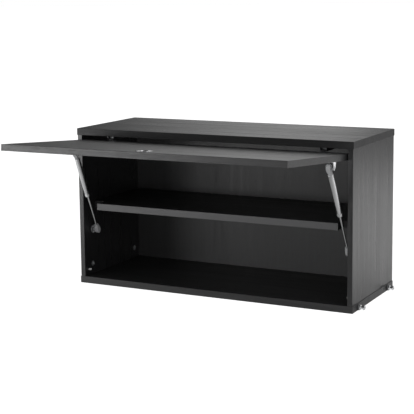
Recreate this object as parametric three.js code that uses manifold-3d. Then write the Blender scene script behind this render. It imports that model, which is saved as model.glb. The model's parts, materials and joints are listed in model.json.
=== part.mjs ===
// Wall cabinet with a lift-up flap, one shelf and a gas strut at each side.
// Millimetres. X runs to the right, Y from front to back, Z up.
// The origin is the centre of the cabinet's underside. The flap is shown open.

import * as THREE from 'three';
import { mergeVertices } from 'three/addons/utils/BufferGeometryUtils.js';
import Module from 'manifold-3d';

const wasm = await Module();
wasm.setup();

// ---------------------------------------------------------------- driving dimensions

// Carcass
const cabinetWidth = 780;        // over the top and bottom boards
const cabinetHeight = 420;
const cabinetDepth = 300;
const boardThickness = 18;       // top and bottom boards
const sideThickness = 13;
const boardOverhang = 1.5;       // each end of the boards past the side panels
const backThickness = 6;
const backInset = 6;             // rear edges of the carcass to the back panel
const grooveDepth = 5;           // back panel into sides and boards
const easedEdge = 0.6;           // chamfer on every board edge

// Clearances
const fitGap = 0.3;              // between two fixed pieces that seat on each other
const flapGap = 2;               // flap to the carcass, all round
const shelfEndGap = 0.5;         // shelf to each side panel
const strutNotchClearance = 10.5; // shelf notch to the strut's tube
const strutNotchDepth = 40;      // shelf notch, front to back

// Shelf
const shelfThickness = 18;
const shelfTop = 217;            // above the underside
const shelfSetback = 17.5;       // shelf front edge behind the carcass front
const shelfPinRadius = 2.5;
const shelfPinDepth = 8;         // into the side panel
const shelfSaddleRadius = 3.5;
const shelfSaddleLength = 10;
const shelfPinFront = 82;        // from the carcass front
const shelfPinRear = 54;         // from the carcass rear

// Cam fittings that draw sides and boards together
const camRadius = 7.5;
const camLength = 10;
const camReach = 28;             // cam centre to the end of the side panel
const camFront = 40;             // from the carcass front
const camRear = 38;              // from the carcass rear
const camSlotWidth = 1.4;
const camSlotLength = 9;
const camSlotDepth = 1.5;
const boltRadius = 2.5;
const boltHeadRadius = 3;
const boltHeadLength = 3;
const boltNeckRadius = 1.8;
const boltNeckLength = 2.5;
const boltScrewDepth = 6.8;      // into the board

// Hanging pegs on the ends of the bottom board
const pegFront = 41;             // from the carcass front
const pegRear = 41;              // from the carcass rear
const pegHeight = 8;             // above the underside
const pegShankRadius = 2.2;
const pegShankDepth = 12;        // into the board
const pegFlangeRadius = 6.2;
const pegFlangeWidth = 3;
const pegGrooveRadius = 3.4;
const pegGrooveWidth = 5.5;      // takes the wire of a ladder rail
const pegHeadWidth = 4.5;
const pegChamfer = 0.8;
const washerRadius = 7.8;
const washerThickness = 3;

// Stops that the closed flap rests on
const stopRadius = 3;
const stopLength = 7.5;
const stopShankRadius = 2;
const stopShankDepth = 8;
const stopHeight = 34;           // above the underside

// Flap
const flapThickness = 16;
const openAngle = 94.7;          // degrees, from closed to the pose shown
const pivotDepth = 6.5;          // hinge axis behind the flap's outer face
const pivotDrop = 16.5;          // hinge axis below the flap's top edge when closed

// Cup hinges
const hingeFromEnd = 71.5;       // hinge middle to the flap's end
const cupDrop = 22.5;            // cup centre below the flap's top edge
const cupRadius = 17.2;
const cupWall = 1.2;
const cupDepth = 12.8;
const cupFloor = 0.7;
const cupFlangeWidth = 52;
const cupFlangeDepth = 15;
const cupFlangeThickness = 1;
const hingePinRadius = 1;
const hingeEyeWall = 0.9;
const neckWidth = 12;
const neckThickness = 2;
const neckDip = 16.8;            // below the hinge axis, where the neck leaves the cup
const neckReach = 21.7;          // behind the hinge axis, where the neck climbs
const armWidth = 19;
const armWall = 1.3;
const armHeight = 8.5;
const armDrop = 12;              // underside of the arm below the ceiling
const armEnd = 80;               // from the carcass front
const plateThickness = 2;
const plateWingSpan = 46;
const plateWingDepth = 14;
const plateWingPlace = 47;       // from the carcass front
const plateRibStart = 34;        // from the carcass front
const plateRibEnd = 77;

// Round recessed pull in the flap's outer face
const pullFlangeRadius = 20.5;
const pullFlangeThickness = 1;
const pullMouthRadius = 18;
const pullWall = 0.8;
const pullDepth = 10;
const pullFloorRadius = 8;
const pullFromEdge = 40;         // pull centre to the flap's lower edge

// Gas struts
const anchorOffset = 14;         // lower ball off the side panel
const anchorFromFront = 44.1;    // the same ball behind the carcass front
const anchorDrop = 260.6;        // the same ball below the ceiling
const bracketOffset = 22.3;      // upper ball off the plane of the side panel
const bracketReach = 16.9;       // the same ball off the flap's inner face
const bracketDrop = 86.7;        // the same ball below the flap's top edge
const tubeRadius = 7;
const tubeWall = 1;
const tubeLength = 121.5;
const tubeEndWall = 3;
const tubeCrimp = 1.4;
const rodRadius = 2.5;
const rodGap = 0.3;              // round the rod where it enters the tube
const pistonRadius = 5.5;
const pistonLength = 8;
const pistonInset = 24;          // piston above the tube's lower end, strut extended
const studThreadRadius = 3;
const threadLength = 6.5;        // rod and tube ends into their fittings
const ballRadius = 4;
const ballNeckRadius = 2;
const ballMouthGap = 1.3;        // socket mouth round the ball's neck
const fittingThickness = 11;
const fittingHeadRadius = 6.8;
const fittingTail = 10.5;        // ball centre to the fitting's rounded end
const fittingReach = 16;         // ball centre to the tube, or to the bare rod
const fittingNeckRadius = 5.8;
const fittingNeckStart = 6;      // from the ball centre
const fittingBevel = 1.5;
const anchorDiscRadius = 11.5;
const anchorDiscThickness = 2.5;
const anchorFlangeRadius = 4.5;
const anchorFlangeLength = 4.6;
const anchorScrewRadius = 1.6;
const anchorScrewPlace = 7.5;
const webThickness = 1.5;
const webRootWidth = 18;
const webTipRadius = 4;
const webOffset = 12.5;          // web's inner face outboard of the upper ball
const footLength = 36;
const footWidth = 22;
const footScrewRadius = 2;

// ---------------------------------------------------------------- derived places

const frontY = -cabinetDepth / 2;
const rearY = cabinetDepth / 2;
const boardEnd = cabinetWidth / 2;
const sideOuter = boardEnd - boardOverhang;
const sideInner = sideOuter - sideThickness;
const floorZ = boardThickness;
const ceilingZ = cabinetHeight - boardThickness;
const backRear = rearY - backInset;
const backFront = backRear - backThickness;

const flapWidth = 2 * (sideInner - flapGap);
const flapTop = ceilingZ - flapGap;
const flapHeight = flapTop - floorZ - flapGap;
const pivotY = frontY + pivotDepth;
const pivotZ = flapTop - pivotDrop;
const opening = THREE.MathUtils.degToRad(openAngle);
const hingePlace = flapWidth / 2 - hingeFromEnd;

// In the flap's own frame the hinge axis is the origin and the flap hangs closed.
const flapOuter = -pivotDepth;
const flapInner = flapOuter + flapThickness;
const flapUpper = pivotDrop;
const flapLower = flapUpper - flapHeight;
const bracketY = flapInner + bracketReach;
const bracketZ = flapUpper - bracketDrop;

// The balls of the right strut; the left one is its mirror image.
const lowerBall = new THREE.Vector3(
  sideInner - anchorOffset,
  frontY + anchorFromFront,
  ceilingZ - anchorDrop,
);
const upperBallX = sideInner - bracketOffset;
const upperBall = new THREE.Vector3(
  upperBallX,
  pivotY + bracketY * Math.cos(opening) + bracketZ * Math.sin(opening),
  pivotZ - bracketY * Math.sin(opening) + bracketZ * Math.cos(opening),
);
const strutWay = upperBall.clone().sub(lowerBall).normalize();
const strutLength = upperBall.distanceTo(lowerBall);
const tubeTop = strutLength - fittingReach;
const tubeBottom = tubeTop - tubeLength;

const sides = [
  { label: 'left', sign: -1 },
  { label: 'right', sign: 1 },
];
const ends = [
  { label: 'front', camY: frontY + camFront, pegY: frontY + pegFront, pinY: frontY + shelfPinFront },
  { label: 'rear', camY: rearY - camRear, pegY: rearY - pegRear, pinY: rearY - shelfPinRear },
];

// ---------------------------------------------------------------- finishes

const finishes = {
  stainedWood: { color: 0x262626, roughness: 0.55, metalness: 0 },
  brightSteel: { color: 0xc4c6c8, roughness: 0.28, metalness: 1 },
  zincSteel: { color: 0xaeb0b2, roughness: 0.4, metalness: 1 },
  brushedPull: { color: 0xb9bbbd, roughness: 0.3, metalness: 1 },
  darkPlastic: { color: 0x2c2d2f, roughness: 0.5, metalness: 0 },
  greyPlastic: { color: 0x6c6d6f, roughness: 0.45, metalness: 0 },
  paleStop: { color: 0xb5b6b5, roughness: 0.4, metalness: 0 },
};

// ---------------------------------------------------------------- solid helpers

const weldDistance = 1e-4;

// Flats round a turned shape, by its size
const smallRound = 12;
const middlingRound = 20;
const largeRound = 36;

/** A solid from a closed geometry: positions alone, shared corners welded. */
function toSolid(geometry) {
  const bare = geometry.clone();
  bare.deleteAttribute('normal');
  bare.deleteAttribute('uv');
  const welded = mergeVertices(bare, weldDistance);
  const index = welded.index.array;
  const triangles = [];
  for (let i = 0; i < index.length; i += 3) {
    const [a, b, c] = index.subarray(i, i + 3);
    if (a !== b && b !== c && c !== a) {
      triangles.push(a, b, c);
    }
  }
  return new wasm.Manifold(new wasm.Mesh({
    numProp: 3,
    vertProperties: new Float32Array(welded.attributes.position.array),
    triVerts: new Uint32Array(triangles),
  }));
}

/** A geometry from a solid. */
function toGeometry(solid) {
  const { vertProperties, triVerts } = solid.getMesh();
  const geometry = new THREE.BufferGeometry();
  geometry.setAttribute('position', new THREE.BufferAttribute(vertProperties, 3));
  geometry.setIndex(new THREE.BufferAttribute(triVerts, 1));
  return geometry;
}

/** The union of several geometries. */
function join(...geometries) {
  return toGeometry(geometries.map(toSolid).reduce((whole, next) => whole.add(next)));
}

/** The first geometry with all the others taken out of it. */
function cut(body, ...tools) {
  return toGeometry(tools.map(toSolid).reduce((rest, tool) => rest.subtract(tool), toSolid(body)));
}

/** The geometry as it is on the right, or its mirror image on the left. */
function onSide(geometry, sign) {
  if (sign > 0) {
    return geometry;
  }
  const mirrored = geometry.clone().applyMatrix4(new THREE.Matrix4().makeScale(-1, 1, 1));
  const index = mirrored.index.array;
  for (let i = 0; i < index.length; i += 3) {
    [index[i], index[i + 1]] = [index[i + 1], index[i]];
  }
  return mirrored;
}

/** A box between two corners. */
function block([x0, y0, z0], [x1, y1, z1]) {
  const geometry = new THREE.BoxGeometry(x1 - x0, y1 - y0, z1 - z0);
  return geometry.translate((x0 + x1) / 2, (y0 + y1) / 2, (z0 + z1) / 2);
}

/** An outline extruded along the local Z from 0, with an eased edge at both faces. */
function extruded(outline, thickness, edge) {
  const shape = new THREE.Shape(outline.map(([u, v]) => new THREE.Vector2(u, v)));
  const geometry = new THREE.ExtrudeGeometry(shape, {
    depth: thickness - 2 * edge,
    bevelEnabled: edge > 0,
    bevelThickness: edge,
    bevelSize: edge,
    bevelOffset: -edge,
    bevelSegments: 1,
  });
  return geometry.translate(0, 0, edge);
}

/** A plate with its outline in X and Y, from height z0 to z1. */
function plateAlongZ(outline, z0, z1, edge = 0) {
  return extruded(outline, z1 - z0, edge).translate(0, 0, z0);
}

/** A plate with its outline in Y and Z, from x0 to x1. */
function plateAlongX(outline, x0, x1, edge = 0) {
  const turn = new THREE.Matrix4().makeBasis(
    new THREE.Vector3(0, 1, 0),
    new THREE.Vector3(0, 0, 1),
    new THREE.Vector3(1, 0, 0),
  );
  return extruded(outline, x1 - x0, edge).applyMatrix4(turn).translate(x0, 0, 0);
}

/** A plate with its outline in X and Z, from y0 to y1. */
function plateAlongY(outline, y0, y1, edge = 0) {
  const turn = new THREE.Matrix4().makeBasis(
    new THREE.Vector3(1, 0, 0),
    new THREE.Vector3(0, 0, 1),
    new THREE.Vector3(0, -1, 0),
  );
  return extruded(outline, y1 - y0, edge).applyMatrix4(turn).translate(0, y1, 0);
}

/** The four corners of a rectangle. */
function rectangle(u0, v0, u1, v1) {
  return [[u0, v0], [u1, v0], [u1, v1], [u0, v1]];
}

/** Points of an arc about a centre, angles in degrees. */
function arc(u, v, radius, startAngle, endAngle, steps) {
  return Array.from({ length: steps + 1 }, (_, step) => {
    const angle = THREE.MathUtils.degToRad(startAngle + ((endAngle - startAngle) * step) / steps);
    return [u + radius * Math.cos(angle), v + radius * Math.sin(angle)];
  });
}

/** A shape turned about the Z axis from [radius, height] points, lowest first. */
function turned(profile, segments = middlingRound) {
  const points = profile.map(([radius, height]) => new THREE.Vector2(radius, height));
  const geometry = new THREE.LatheGeometry(points, segments);
  return geometry.rotateX(Math.PI / 2);
}

/** The same, turned about the X axis and pointing to +X. */
function turnedAlongX(profile, segments = middlingRound) {
  return turned(profile, segments).rotateY(Math.PI / 2);
}

/** A plain round bar along X. */
function barAlongX(radius, x0, x1, y, z, segments = smallRound) {
  const profile = [[0, x0], [radius, x0], [radius, x1], [0, x1]];
  return turnedAlongX(profile, segments).translate(0, y, z);
}

/** A plain round bar along Y. */
function barAlongY(radius, y0, y1, x, z, segments = smallRound) {
  const profile = [[0, y0], [radius, y0], [radius, y1], [0, y1]];
  return turned(profile, segments).rotateX(-Math.PI / 2).translate(x, 0, z);
}

/** A plain round bar along Z. */
function barAlongZ(radius, z0, z1, x, y, segments = smallRound) {
  return turned([[0, z0], [radius, z0], [radius, z1], [0, z1]], segments).translate(x, y, 0);
}

/** The outline of a strip of one thickness that follows a bent line. */
function stripOutline(line, thickness) {
  const normals = line.slice(1).map(([u, v], i) => {
    const [du, dv] = [u - line[i][0], v - line[i][1]];
    const length = Math.hypot(du, dv);
    return [-dv / length, du / length];
  });
  const offset = (distance) => line.map(([u, v], i) => {
    const before = normals[Math.max(i - 1, 0)];
    const after = normals[Math.min(i, normals.length - 1)];
    const scale = distance / (1 + before[0] * after[0] + before[1] * after[1]);
    return [u + (before[0] + after[0]) * scale, v + (before[1] + after[1]) * scale];
  });
  return [...offset(-thickness / 2), ...offset(thickness / 2).reverse()];
}

/** A named mesh with a material of its own. */
function piece(name, geometry, finish) {
  const mesh = new THREE.Mesh(geometry, new THREE.MeshStandardMaterial(finish));
  mesh.material.flatShading = true;
  mesh.name = name;
  return mesh;
}

// ---------------------------------------------------------------- carcass

const backGrooveSide = (sign) => onSide(toGeometry(toSolid(block(
  [sideInner - 1, backFront - fitGap, -1],
  [sideInner + grooveDepth + fitGap, backRear + fitGap, cabinetHeight + 1],
))), sign);

/** Groove for the back panel in the inner face of a board. */
function backGrooveBoard(innerZ, outwards) {
  const reach = sideInner + grooveDepth + fitGap;
  const bottom = innerZ + outwards * (grooveDepth + fitGap);
  const top = innerZ - outwards;
  return block(
    [-reach, backFront - fitGap, Math.min(bottom, top)],
    [reach, backRear + fitGap, Math.max(bottom, top)],
  );
}

const boltX = sideInner + sideThickness / 2;

/** Holes in a board for the four bolts that join it to the sides. */
function boltHolesInBoard(innerZ, outwards) {
  const bottom = innerZ + outwards * (boltScrewDepth + fitGap);
  const top = innerZ - outwards;
  return sides.flatMap(({ sign }) => ends.map(({ camY }) => barAlongZ(
    boltRadius + fitGap,
    Math.min(bottom, top),
    Math.max(bottom, top),
    sign * boltX,
    camY,
  )));
}

/** Holes in the ends of the bottom board for the hanging pegs. */
function pegHoles() {
  return sides.flatMap(({ sign }) => ends.map(({ pegY }) => {
    const [inner, outer] = [boardEnd - pegShankDepth - fitGap, boardEnd + 1];
    const [x0, x1] = sign > 0 ? [inner, outer] : [-outer, -inner];
    return barAlongX(pegShankRadius + fitGap, x0, x1, pegY, pegHeight);
  }));
}

function boards() {
  const outline = rectangle(-boardEnd, frontY, boardEnd, rearY);
  const top = cut(
    plateAlongZ(outline, ceilingZ, cabinetHeight, easedEdge),
    backGrooveBoard(ceilingZ, 1),
    ...boltHolesInBoard(ceilingZ, 1),
  );
  const bottom = cut(
    plateAlongZ(outline, 0, floorZ, easedEdge),
    backGrooveBoard(floorZ, -1),
    ...boltHolesInBoard(floorZ, -1),
    ...pegHoles(),
  );
  return [
    piece('top_panel', top, finishes.stainedWood),
    piece('bottom_panel', bottom, finishes.stainedWood),
  ];
}

const shelfBottom = shelfTop - shelfThickness;
const saddleZ = shelfBottom - fitGap - shelfSaddleRadius / 3;
const stopY = frontY + flapThickness + fitGap + stopRadius;

/** Cam centres up the side panel, with the way to the board that each one draws in. */
const camHeights = [
  { label: 'lower', z: floorZ + camReach, towardsBoard: -1, boardFace: floorZ },
  { label: 'upper', z: ceilingZ - camReach, towardsBoard: 1, boardFace: ceilingZ },
];

function sidePanel({ label, sign }) {
  const panel = plateAlongX(
    rectangle(frontY, floorZ, rearY, ceilingZ),
    sideInner,
    sideOuter,
    easedEdge,
  );
  const camHoles = camHeights.flatMap(({ z, towardsBoard, boardFace }) => ends.flatMap(({ camY }) => [
    barAlongX(
      camRadius + fitGap,
      sideInner - 1,
      sideInner + camLength + 2 * fitGap,
      camY,
      z,
      middlingRound,
    ),
    barAlongZ(
      boltRadius + fitGap,
      Math.min(z, boardFace + towardsBoard),
      Math.max(z, boardFace + towardsBoard),
      boltX,
      camY,
    ),
  ]));
  const pinHoles = ends.map(({ pinY }) => barAlongX(
    shelfPinRadius + fitGap,
    sideInner - 1,
    sideInner + shelfPinDepth + fitGap,
    pinY,
    saddleZ,
  ));
  const stopHole = barAlongX(
    stopShankRadius + fitGap,
    sideInner - 1,
    sideInner + stopShankDepth + fitGap,
    stopY,
    stopHeight,
  );
  const finished = cut(panel, backGrooveSide(1), ...camHoles, ...pinHoles, stopHole);
  return piece(`side_panel_${label}`, onSide(finished, sign), finishes.stainedWood);
}

function backPanel() {
  const reach = sideInner + grooveDepth;
  const geometry = plateAlongY(
    rectangle(-reach, floorZ - grooveDepth, reach, ceilingZ + grooveDepth),
    backFront,
    backRear,
  );
  return piece('back_panel', toGeometry(toSolid(geometry)), finishes.stainedWood);
}

function shelf() {
  const shelfEnd = sideInner - shelfEndGap;
  const noseEnd = lowerBall.x - tubeRadius - strutNotchClearance;
  const shelfFront = frontY + shelfSetback;
  const notchBack = shelfFront + strutNotchDepth;
  const shelfBack = backFront - shelfEndGap;
  const outline = [
    [-noseEnd, shelfFront], [noseEnd, shelfFront], [noseEnd, notchBack], [shelfEnd, notchBack],
    [shelfEnd, shelfBack], [-shelfEnd, shelfBack], [-shelfEnd, notchBack], [-noseEnd, notchBack],
  ];
  const geometry = toGeometry(toSolid(plateAlongZ(outline, shelfBottom, shelfTop, easedEdge)));
  return piece('shelf', geometry, finishes.stainedWood);
}

/** Round pin in the side panel with a flat-topped saddle under the shelf. */
function shelfPin() {
  const pin = turnedAlongX([
    [0, sideInner - shelfSaddleLength],
    [shelfSaddleRadius, sideInner - shelfSaddleLength],
    [shelfSaddleRadius, sideInner - fitGap],
    [shelfPinRadius, sideInner - fitGap],
    [shelfPinRadius, sideInner + shelfPinDepth],
    [0, sideInner + shelfPinDepth],
  ], smallRound).translate(0, 0, saddleZ);
  const flat = block(
    [sideInner - shelfSaddleLength - 1, -shelfSaddleRadius - 1, shelfBottom - fitGap],
    [sideInner - fitGap, shelfSaddleRadius + 1, shelfTop],
  );
  return cut(pin, flat);
}

/** Cam housing with a crossed slot in its face and a bore for the bolt's head. */
function camHousing() {
  const face = sideInner + fitGap;
  const slot = (halfHigh, halfWide) => block(
    [face - 1, -halfWide, -halfHigh],
    [face + camSlotDepth, halfWide, halfHigh],
  );
  return cut(
    barAlongX(camRadius, face, face + camLength, 0, 0, middlingRound),
    slot(camSlotLength / 2, camSlotWidth / 2),
    slot(camSlotWidth / 2, camSlotLength / 2),
    barAlongZ(boltHeadRadius + fitGap, -camRadius - 1, boltHeadLength + fitGap, boltX, 0),
  );
}

/** Bolt screwed up into a board, its head in a cam whose centre is at height 0. */
function camBolt() {
  const tip = -camReach - boltScrewDepth;
  return turned([
    [0, tip],
    [boltRadius * 0.6, tip],
    [boltRadius, tip + boltRadius * 0.4],
    [boltRadius, -boltNeckLength],
    [boltNeckRadius, -boltNeckLength],
    [boltNeckRadius, 0],
    [boltHeadRadius, 0],
    [boltHeadRadius, boltHeadLength],
    [0, boltHeadLength],
  ], smallRound).translate(boltX, 0, 0);
}

/** Cam and bolt at each corner of each side panel. */
function camFittings({ label: sideLabel, sign }) {
  return camHeights.flatMap(({ label: heightLabel, z, towardsBoard }) => ends.flatMap((end) => {
    const name = `${heightLabel}_${sideLabel}_${end.label}`;
    const fitted = [
      piece(`cam_${name}`, onSide(camHousing(), sign), finishes.zincSteel),
      piece(`cam_bolt_${name}`, onSide(toGeometry(toSolid(camBolt())), sign), finishes.zincSteel),
    ];
    fitted.forEach((mesh) => {
      mesh.rotation.x = towardsBoard > 0 ? Math.PI : 0;
      mesh.position.set(0, end.camY, z);
    });
    return fitted;
  }));
}

/** Peg that screws into the board's end, with a groove for a rail's wire. */
function hangingPeg() {
  const seat = washerThickness + 2 * fitGap;
  const groove = seat + pegFlangeWidth;
  const head = groove + pegGrooveWidth;
  const tip = head + pegHeadWidth;
  return turnedAlongX([
    [0, -pegShankDepth],
    [pegShankRadius, -pegShankDepth],
    [pegShankRadius, seat],
    [pegFlangeRadius, seat],
    [pegFlangeRadius, groove - pegChamfer],
    [pegFlangeRadius - pegChamfer, groove],
    [pegGrooveRadius, groove],
    [pegGrooveRadius, head],
    [pegFlangeRadius - pegChamfer, head],
    [pegFlangeRadius, head + pegChamfer],
    [pegFlangeRadius, tip - pegChamfer],
    [pegFlangeRadius - pegChamfer, tip],
    [0, tip],
  ]).translate(boardEnd, 0, 0);
}

function pegWasher() {
  const seat = boardEnd + fitGap;
  const disc = barAlongX(washerRadius, seat, seat + washerThickness, 0, 0, middlingRound);
  const hole = barAlongX(pegShankRadius + fitGap, seat - 1, seat + washerThickness + 1, 0, 0);
  return cut(disc, hole);
}

function hangingPegs({ label: sideLabel, sign }) {
  return ends.flatMap(({ label: endLabel, pegY }) => {
    const fitted = [
      piece(`peg_washer_${sideLabel}_${endLabel}`, onSide(pegWasher(), sign), finishes.darkPlastic),
      piece(
        `hanging_peg_${sideLabel}_${endLabel}`,
        onSide(toGeometry(toSolid(hangingPeg())), sign),
        finishes.brightSteel,
      ),
    ];
    fitted.forEach((mesh) => mesh.position.set(0, pegY, pegHeight));
    return fitted;
  });
}

function shelfPins({ label: sideLabel, sign }) {
  return ends.map(({ label: endLabel, pinY }) => {
    const mesh = piece(
      `shelf_pin_${sideLabel}_${endLabel}`,
      onSide(shelfPin(), sign),
      finishes.zincSteel,
    );
    mesh.position.y = pinY;
    return mesh;
  });
}

/** Round stop on the side panel, against the inner face of the closed flap. */
function flapStop({ label, sign }) {
  const geometry = turnedAlongX([
    [0, sideInner - stopLength],
    [stopRadius * 0.8, sideInner - stopLength],
    [stopRadius, sideInner - stopLength * 0.9],
    [stopRadius, sideInner - fitGap],
    [stopShankRadius, sideInner - fitGap],
    [stopShankRadius, sideInner + stopShankDepth],
    [0, sideInner + stopShankDepth],
  ]).translate(0, stopY, stopHeight);
  return piece(`flap_stop_${label}`, onSide(toGeometry(toSolid(geometry)), sign), finishes.paleStop);
}

// ---------------------------------------------------------------- hinges

const armBottom = ceilingZ - armDrop;

/** Plate screwed under the ceiling, with the rib that the arm slides over. */
function hingePlate({ label, sign }) {
  const top = ceilingZ - fitGap;
  const ribHalf = armWidth / 2 - armWall - fitGap;
  const wings = block(
    [-plateWingSpan / 2, frontY + plateWingPlace - plateWingDepth / 2, top - plateThickness],
    [plateWingSpan / 2, frontY + plateWingPlace + plateWingDepth / 2, top],
  );
  const rib = block(
    [-ribHalf, frontY + plateRibStart, armBottom + neckThickness + fitGap],
    [ribHalf, frontY + plateRibEnd, top],
  );
  const mesh = piece(`hinge_plate_${label}`, join(wings, rib), finishes.zincSteel);
  mesh.position.x = sign * hingePlace;
  return mesh;
}

/** Bent arm: eye on the pin in the cup, neck round the flap's edge, channel on the plate. */
function hingeArm({ label, sign }) {
  const eyeRadius = hingePinRadius + fitGap + hingeEyeWall;
  const climb = pivotY + neckReach;
  const neckLine = [
    [pivotY, pivotZ],
    [pivotY + pivotDrop * 0.45, pivotZ - neckDip * 0.83],
    [pivotY + pivotDrop * 0.75, pivotZ - neckDip],
    [climb - neckThickness * 0.6, pivotZ - neckDip],
    [climb, pivotZ - neckDip + neckThickness * 0.6],
    [climb, armBottom + neckThickness / 2],
  ];
  const neck = plateAlongX(stripOutline(neckLine, neckThickness), -neckWidth / 2, neckWidth / 2);
  const eye = barAlongX(eyeRadius, -neckWidth / 2, neckWidth / 2, pivotY, pivotZ);
  const channelStart = climb - neckThickness / 2;
  const web = block(
    [-armWidth / 2, channelStart, armBottom],
    [armWidth / 2, frontY + armEnd, armBottom + neckThickness],
  );
  const flange = (x0) => block(
    [x0, channelStart + neckThickness, armBottom],
    [x0 + armWall, frontY + armEnd, armBottom + armHeight],
  );
  const arm = join(neck, eye, web, flange(-armWidth / 2), flange(armWidth / 2 - armWall));
  const pinHole = barAlongX(hingePinRadius + fitGap, -neckWidth, neckWidth, pivotY, pivotZ);
  const mesh = piece(`hinge_arm_${label}`, cut(arm, pinHole), finishes.brightSteel);
  mesh.position.x = sign * hingePlace;
  return mesh;
}

const cupZ = flapUpper - cupDrop;

/** Pressed cup in the flap, with a flange on the inner face and holes for the pin. */
function hingeCup() {
  const seat = flapInner + fitGap;
  const floor = flapInner - cupDepth;
  const bore = cupRadius - cupWall;
  const shell = barAlongY(cupRadius, floor, seat + cupFlangeThickness / 2, 0, cupZ, largeRound);
  const rim = barAlongY(cupRadius + 2 * cupWall, seat, seat + cupFlangeThickness, 0, cupZ, largeRound);
  const earRadius = cupFlangeDepth / 2;
  const earPlace = cupFlangeWidth / 2 - earRadius;
  const flange = plateAlongY([
    ...arc(earPlace, cupZ, earRadius, -90, 90, 10),
    ...arc(-earPlace, cupZ, earRadius, 90, 270, 10),
  ], seat, seat + cupFlangeThickness);
  return cut(
    join(shell, rim, flange),
    barAlongY(bore, floor + cupFloor, seat + 2 * cupFlangeThickness, 0, cupZ, largeRound),
    barAlongX(hingePinRadius + fitGap, -cupRadius - 1, cupRadius + 1, 0, 0),
  );
}

/** Straight pin across the cup, held in the cup's wall at both ends. */
function hingePin() {
  const boreHalfChord = Math.sqrt((cupRadius - cupWall) ** 2 - cupZ ** 2);
  const reach = boreHalfChord + cupWall * 0.9;
  return toGeometry(toSolid(barAlongX(hingePinRadius, -reach, reach, 0, 0)));
}

// ---------------------------------------------------------------- flap

/** Flap in its own frame: hinge axis at the origin, hanging closed. */
function flapPanel() {
  const panel = plateAlongY(
    rectangle(-flapWidth / 2, flapLower, flapWidth / 2, flapUpper),
    flapOuter,
    flapInner,
    easedEdge,
  );
  const cupHoles = sides.map(({ sign }) => barAlongY(
    cupRadius + fitGap,
    flapInner - cupDepth - fitGap,
    flapInner + 1,
    sign * hingePlace,
    cupZ,
    largeRound,
  ));
  const pullHole = barAlongY(
    pullMouthRadius + pullWall + fitGap,
    flapOuter - 1,
    flapOuter + pullDepth + pullWall + fitGap,
    0,
    pullZ,
    largeRound,
  );
  return piece('flap_panel', cut(panel, ...cupHoles, pullHole), finishes.stainedWood);
}

const pullZ = flapLower + pullFromEdge;

/** Spun dish with a thin flange, its mouth towards the front of the closed flap. */
function flushPull() {
  const face = fitGap + pullFlangeThickness;
  const dishSteps = 5;
  const dish = Array.from({ length: dishSteps + 1 }, (_, step) => {
    const share = step / dishSteps;
    const radius = pullFloorRadius + (pullMouthRadius - pullFloorRadius) * Math.sin(share * Math.PI / 2);
    return [radius, face - (pullDepth + face - pullWall) * Math.cos(share * Math.PI / 2)];
  });
  const geometry = turned([
    [0, -pullDepth],
    [pullMouthRadius + pullWall - 1, -pullDepth],
    [pullMouthRadius + pullWall, 1 - pullDepth],
    [pullMouthRadius + pullWall, fitGap],
    [pullFlangeRadius, fitGap],
    [pullFlangeRadius, face - pullFlangeThickness / 2],
    [pullFlangeRadius - pullFlangeThickness / 2, face],
    ...dish.reverse(),
    [0, face - (pullDepth + face - pullWall)],
  ], largeRound).rotateX(Math.PI / 2).translate(0, flapOuter, pullZ);
  return piece('flush_pull', toGeometry(toSolid(geometry)), finishes.brushedPull);
}

// ---------------------------------------------------------------- struts

/** Ball on a neck along +X, ball centre at the origin, neck ending at a given reach. */
function ballOnNeck(neckEnd) {
  const neckAngle = 180 - THREE.MathUtils.radToDeg(Math.asin(ballNeckRadius / ballRadius));
  const ball = arc(0, 0, ballRadius, 0, neckAngle, 7).map(([along, out]) => [out, -along]);
  return [...ball, [ballNeckRadius, neckEnd]];
}

/** Bracket on the flap's inner face: foot, wedge-shaped web and ball, in the flap's frame. */
function strutBracket() {
  const webX = upperBallX + webOffset;
  const seat = flapInner + fitGap;
  const web = plateAlongX([
    [seat, bracketZ - webRootWidth / 2],
    ...arc(bracketY, bracketZ, webTipRadius, -75, 75, 6),
    [seat, bracketZ + webRootWidth / 2],
  ], webX, webX + webThickness);
  const foot = plateAlongY(
    rectangle(webX + webThickness - footWidth, bracketZ - footLength / 2, webX + webThickness,
      bracketZ + footLength / 2),
    seat,
    seat + webThickness,
  );
  const screwX = webX + webThickness - footWidth / 2;
  const screwHole = (z) => barAlongY(footScrewRadius, seat - 1, seat + webThickness + 1, screwX, z);
  const neckEnd = webOffset + webThickness / 2;
  const ball = turnedAlongX([...ballOnNeck(neckEnd), [0, neckEnd]], smallRound)
    .translate(upperBallX, bracketY, bracketZ);
  return cut(
    join(web, foot, ball),
    screwHole(bracketZ - footLength / 3),
    screwHole(bracketZ + footLength / 3),
  );
}

/** Socket fitting in the strut's frame, ball centre at height 0 and neck upwards. */
function ballFitting(threadRadius) {
  const half = fittingThickness / 2;
  const head = plateAlongX([
    ...arc(0, fittingHeadRadius - fittingTail, fittingHeadRadius, 180, 360, 8),
    [fittingHeadRadius, fittingHeadRadius - ballRadius],
    [fittingNeckRadius, fittingNeckStart + ballRadius],
    [-fittingNeckRadius, fittingNeckStart + ballRadius],
    [-fittingHeadRadius, fittingHeadRadius - ballRadius],
  ], -half, half, fittingBevel);
  const neck = barAlongZ(fittingNeckRadius, fittingNeckStart, fittingReach - fitGap, 0, 0, middlingRound);
  const socket = new THREE.SphereGeometry(ballRadius + fitGap, smallRound, smallRound / 2);
  const mouth = barAlongX(ballNeckRadius + ballMouthGap, 0, half + 1, 0, 0);
  const threadHole = barAlongZ(
    threadRadius + fitGap,
    fittingReach - threadLength - 2 * fitGap,
    fittingReach + 1,
    0,
    0,
  );
  return cut(join(head, neck), socket, mouth, threadHole);
}

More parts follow.
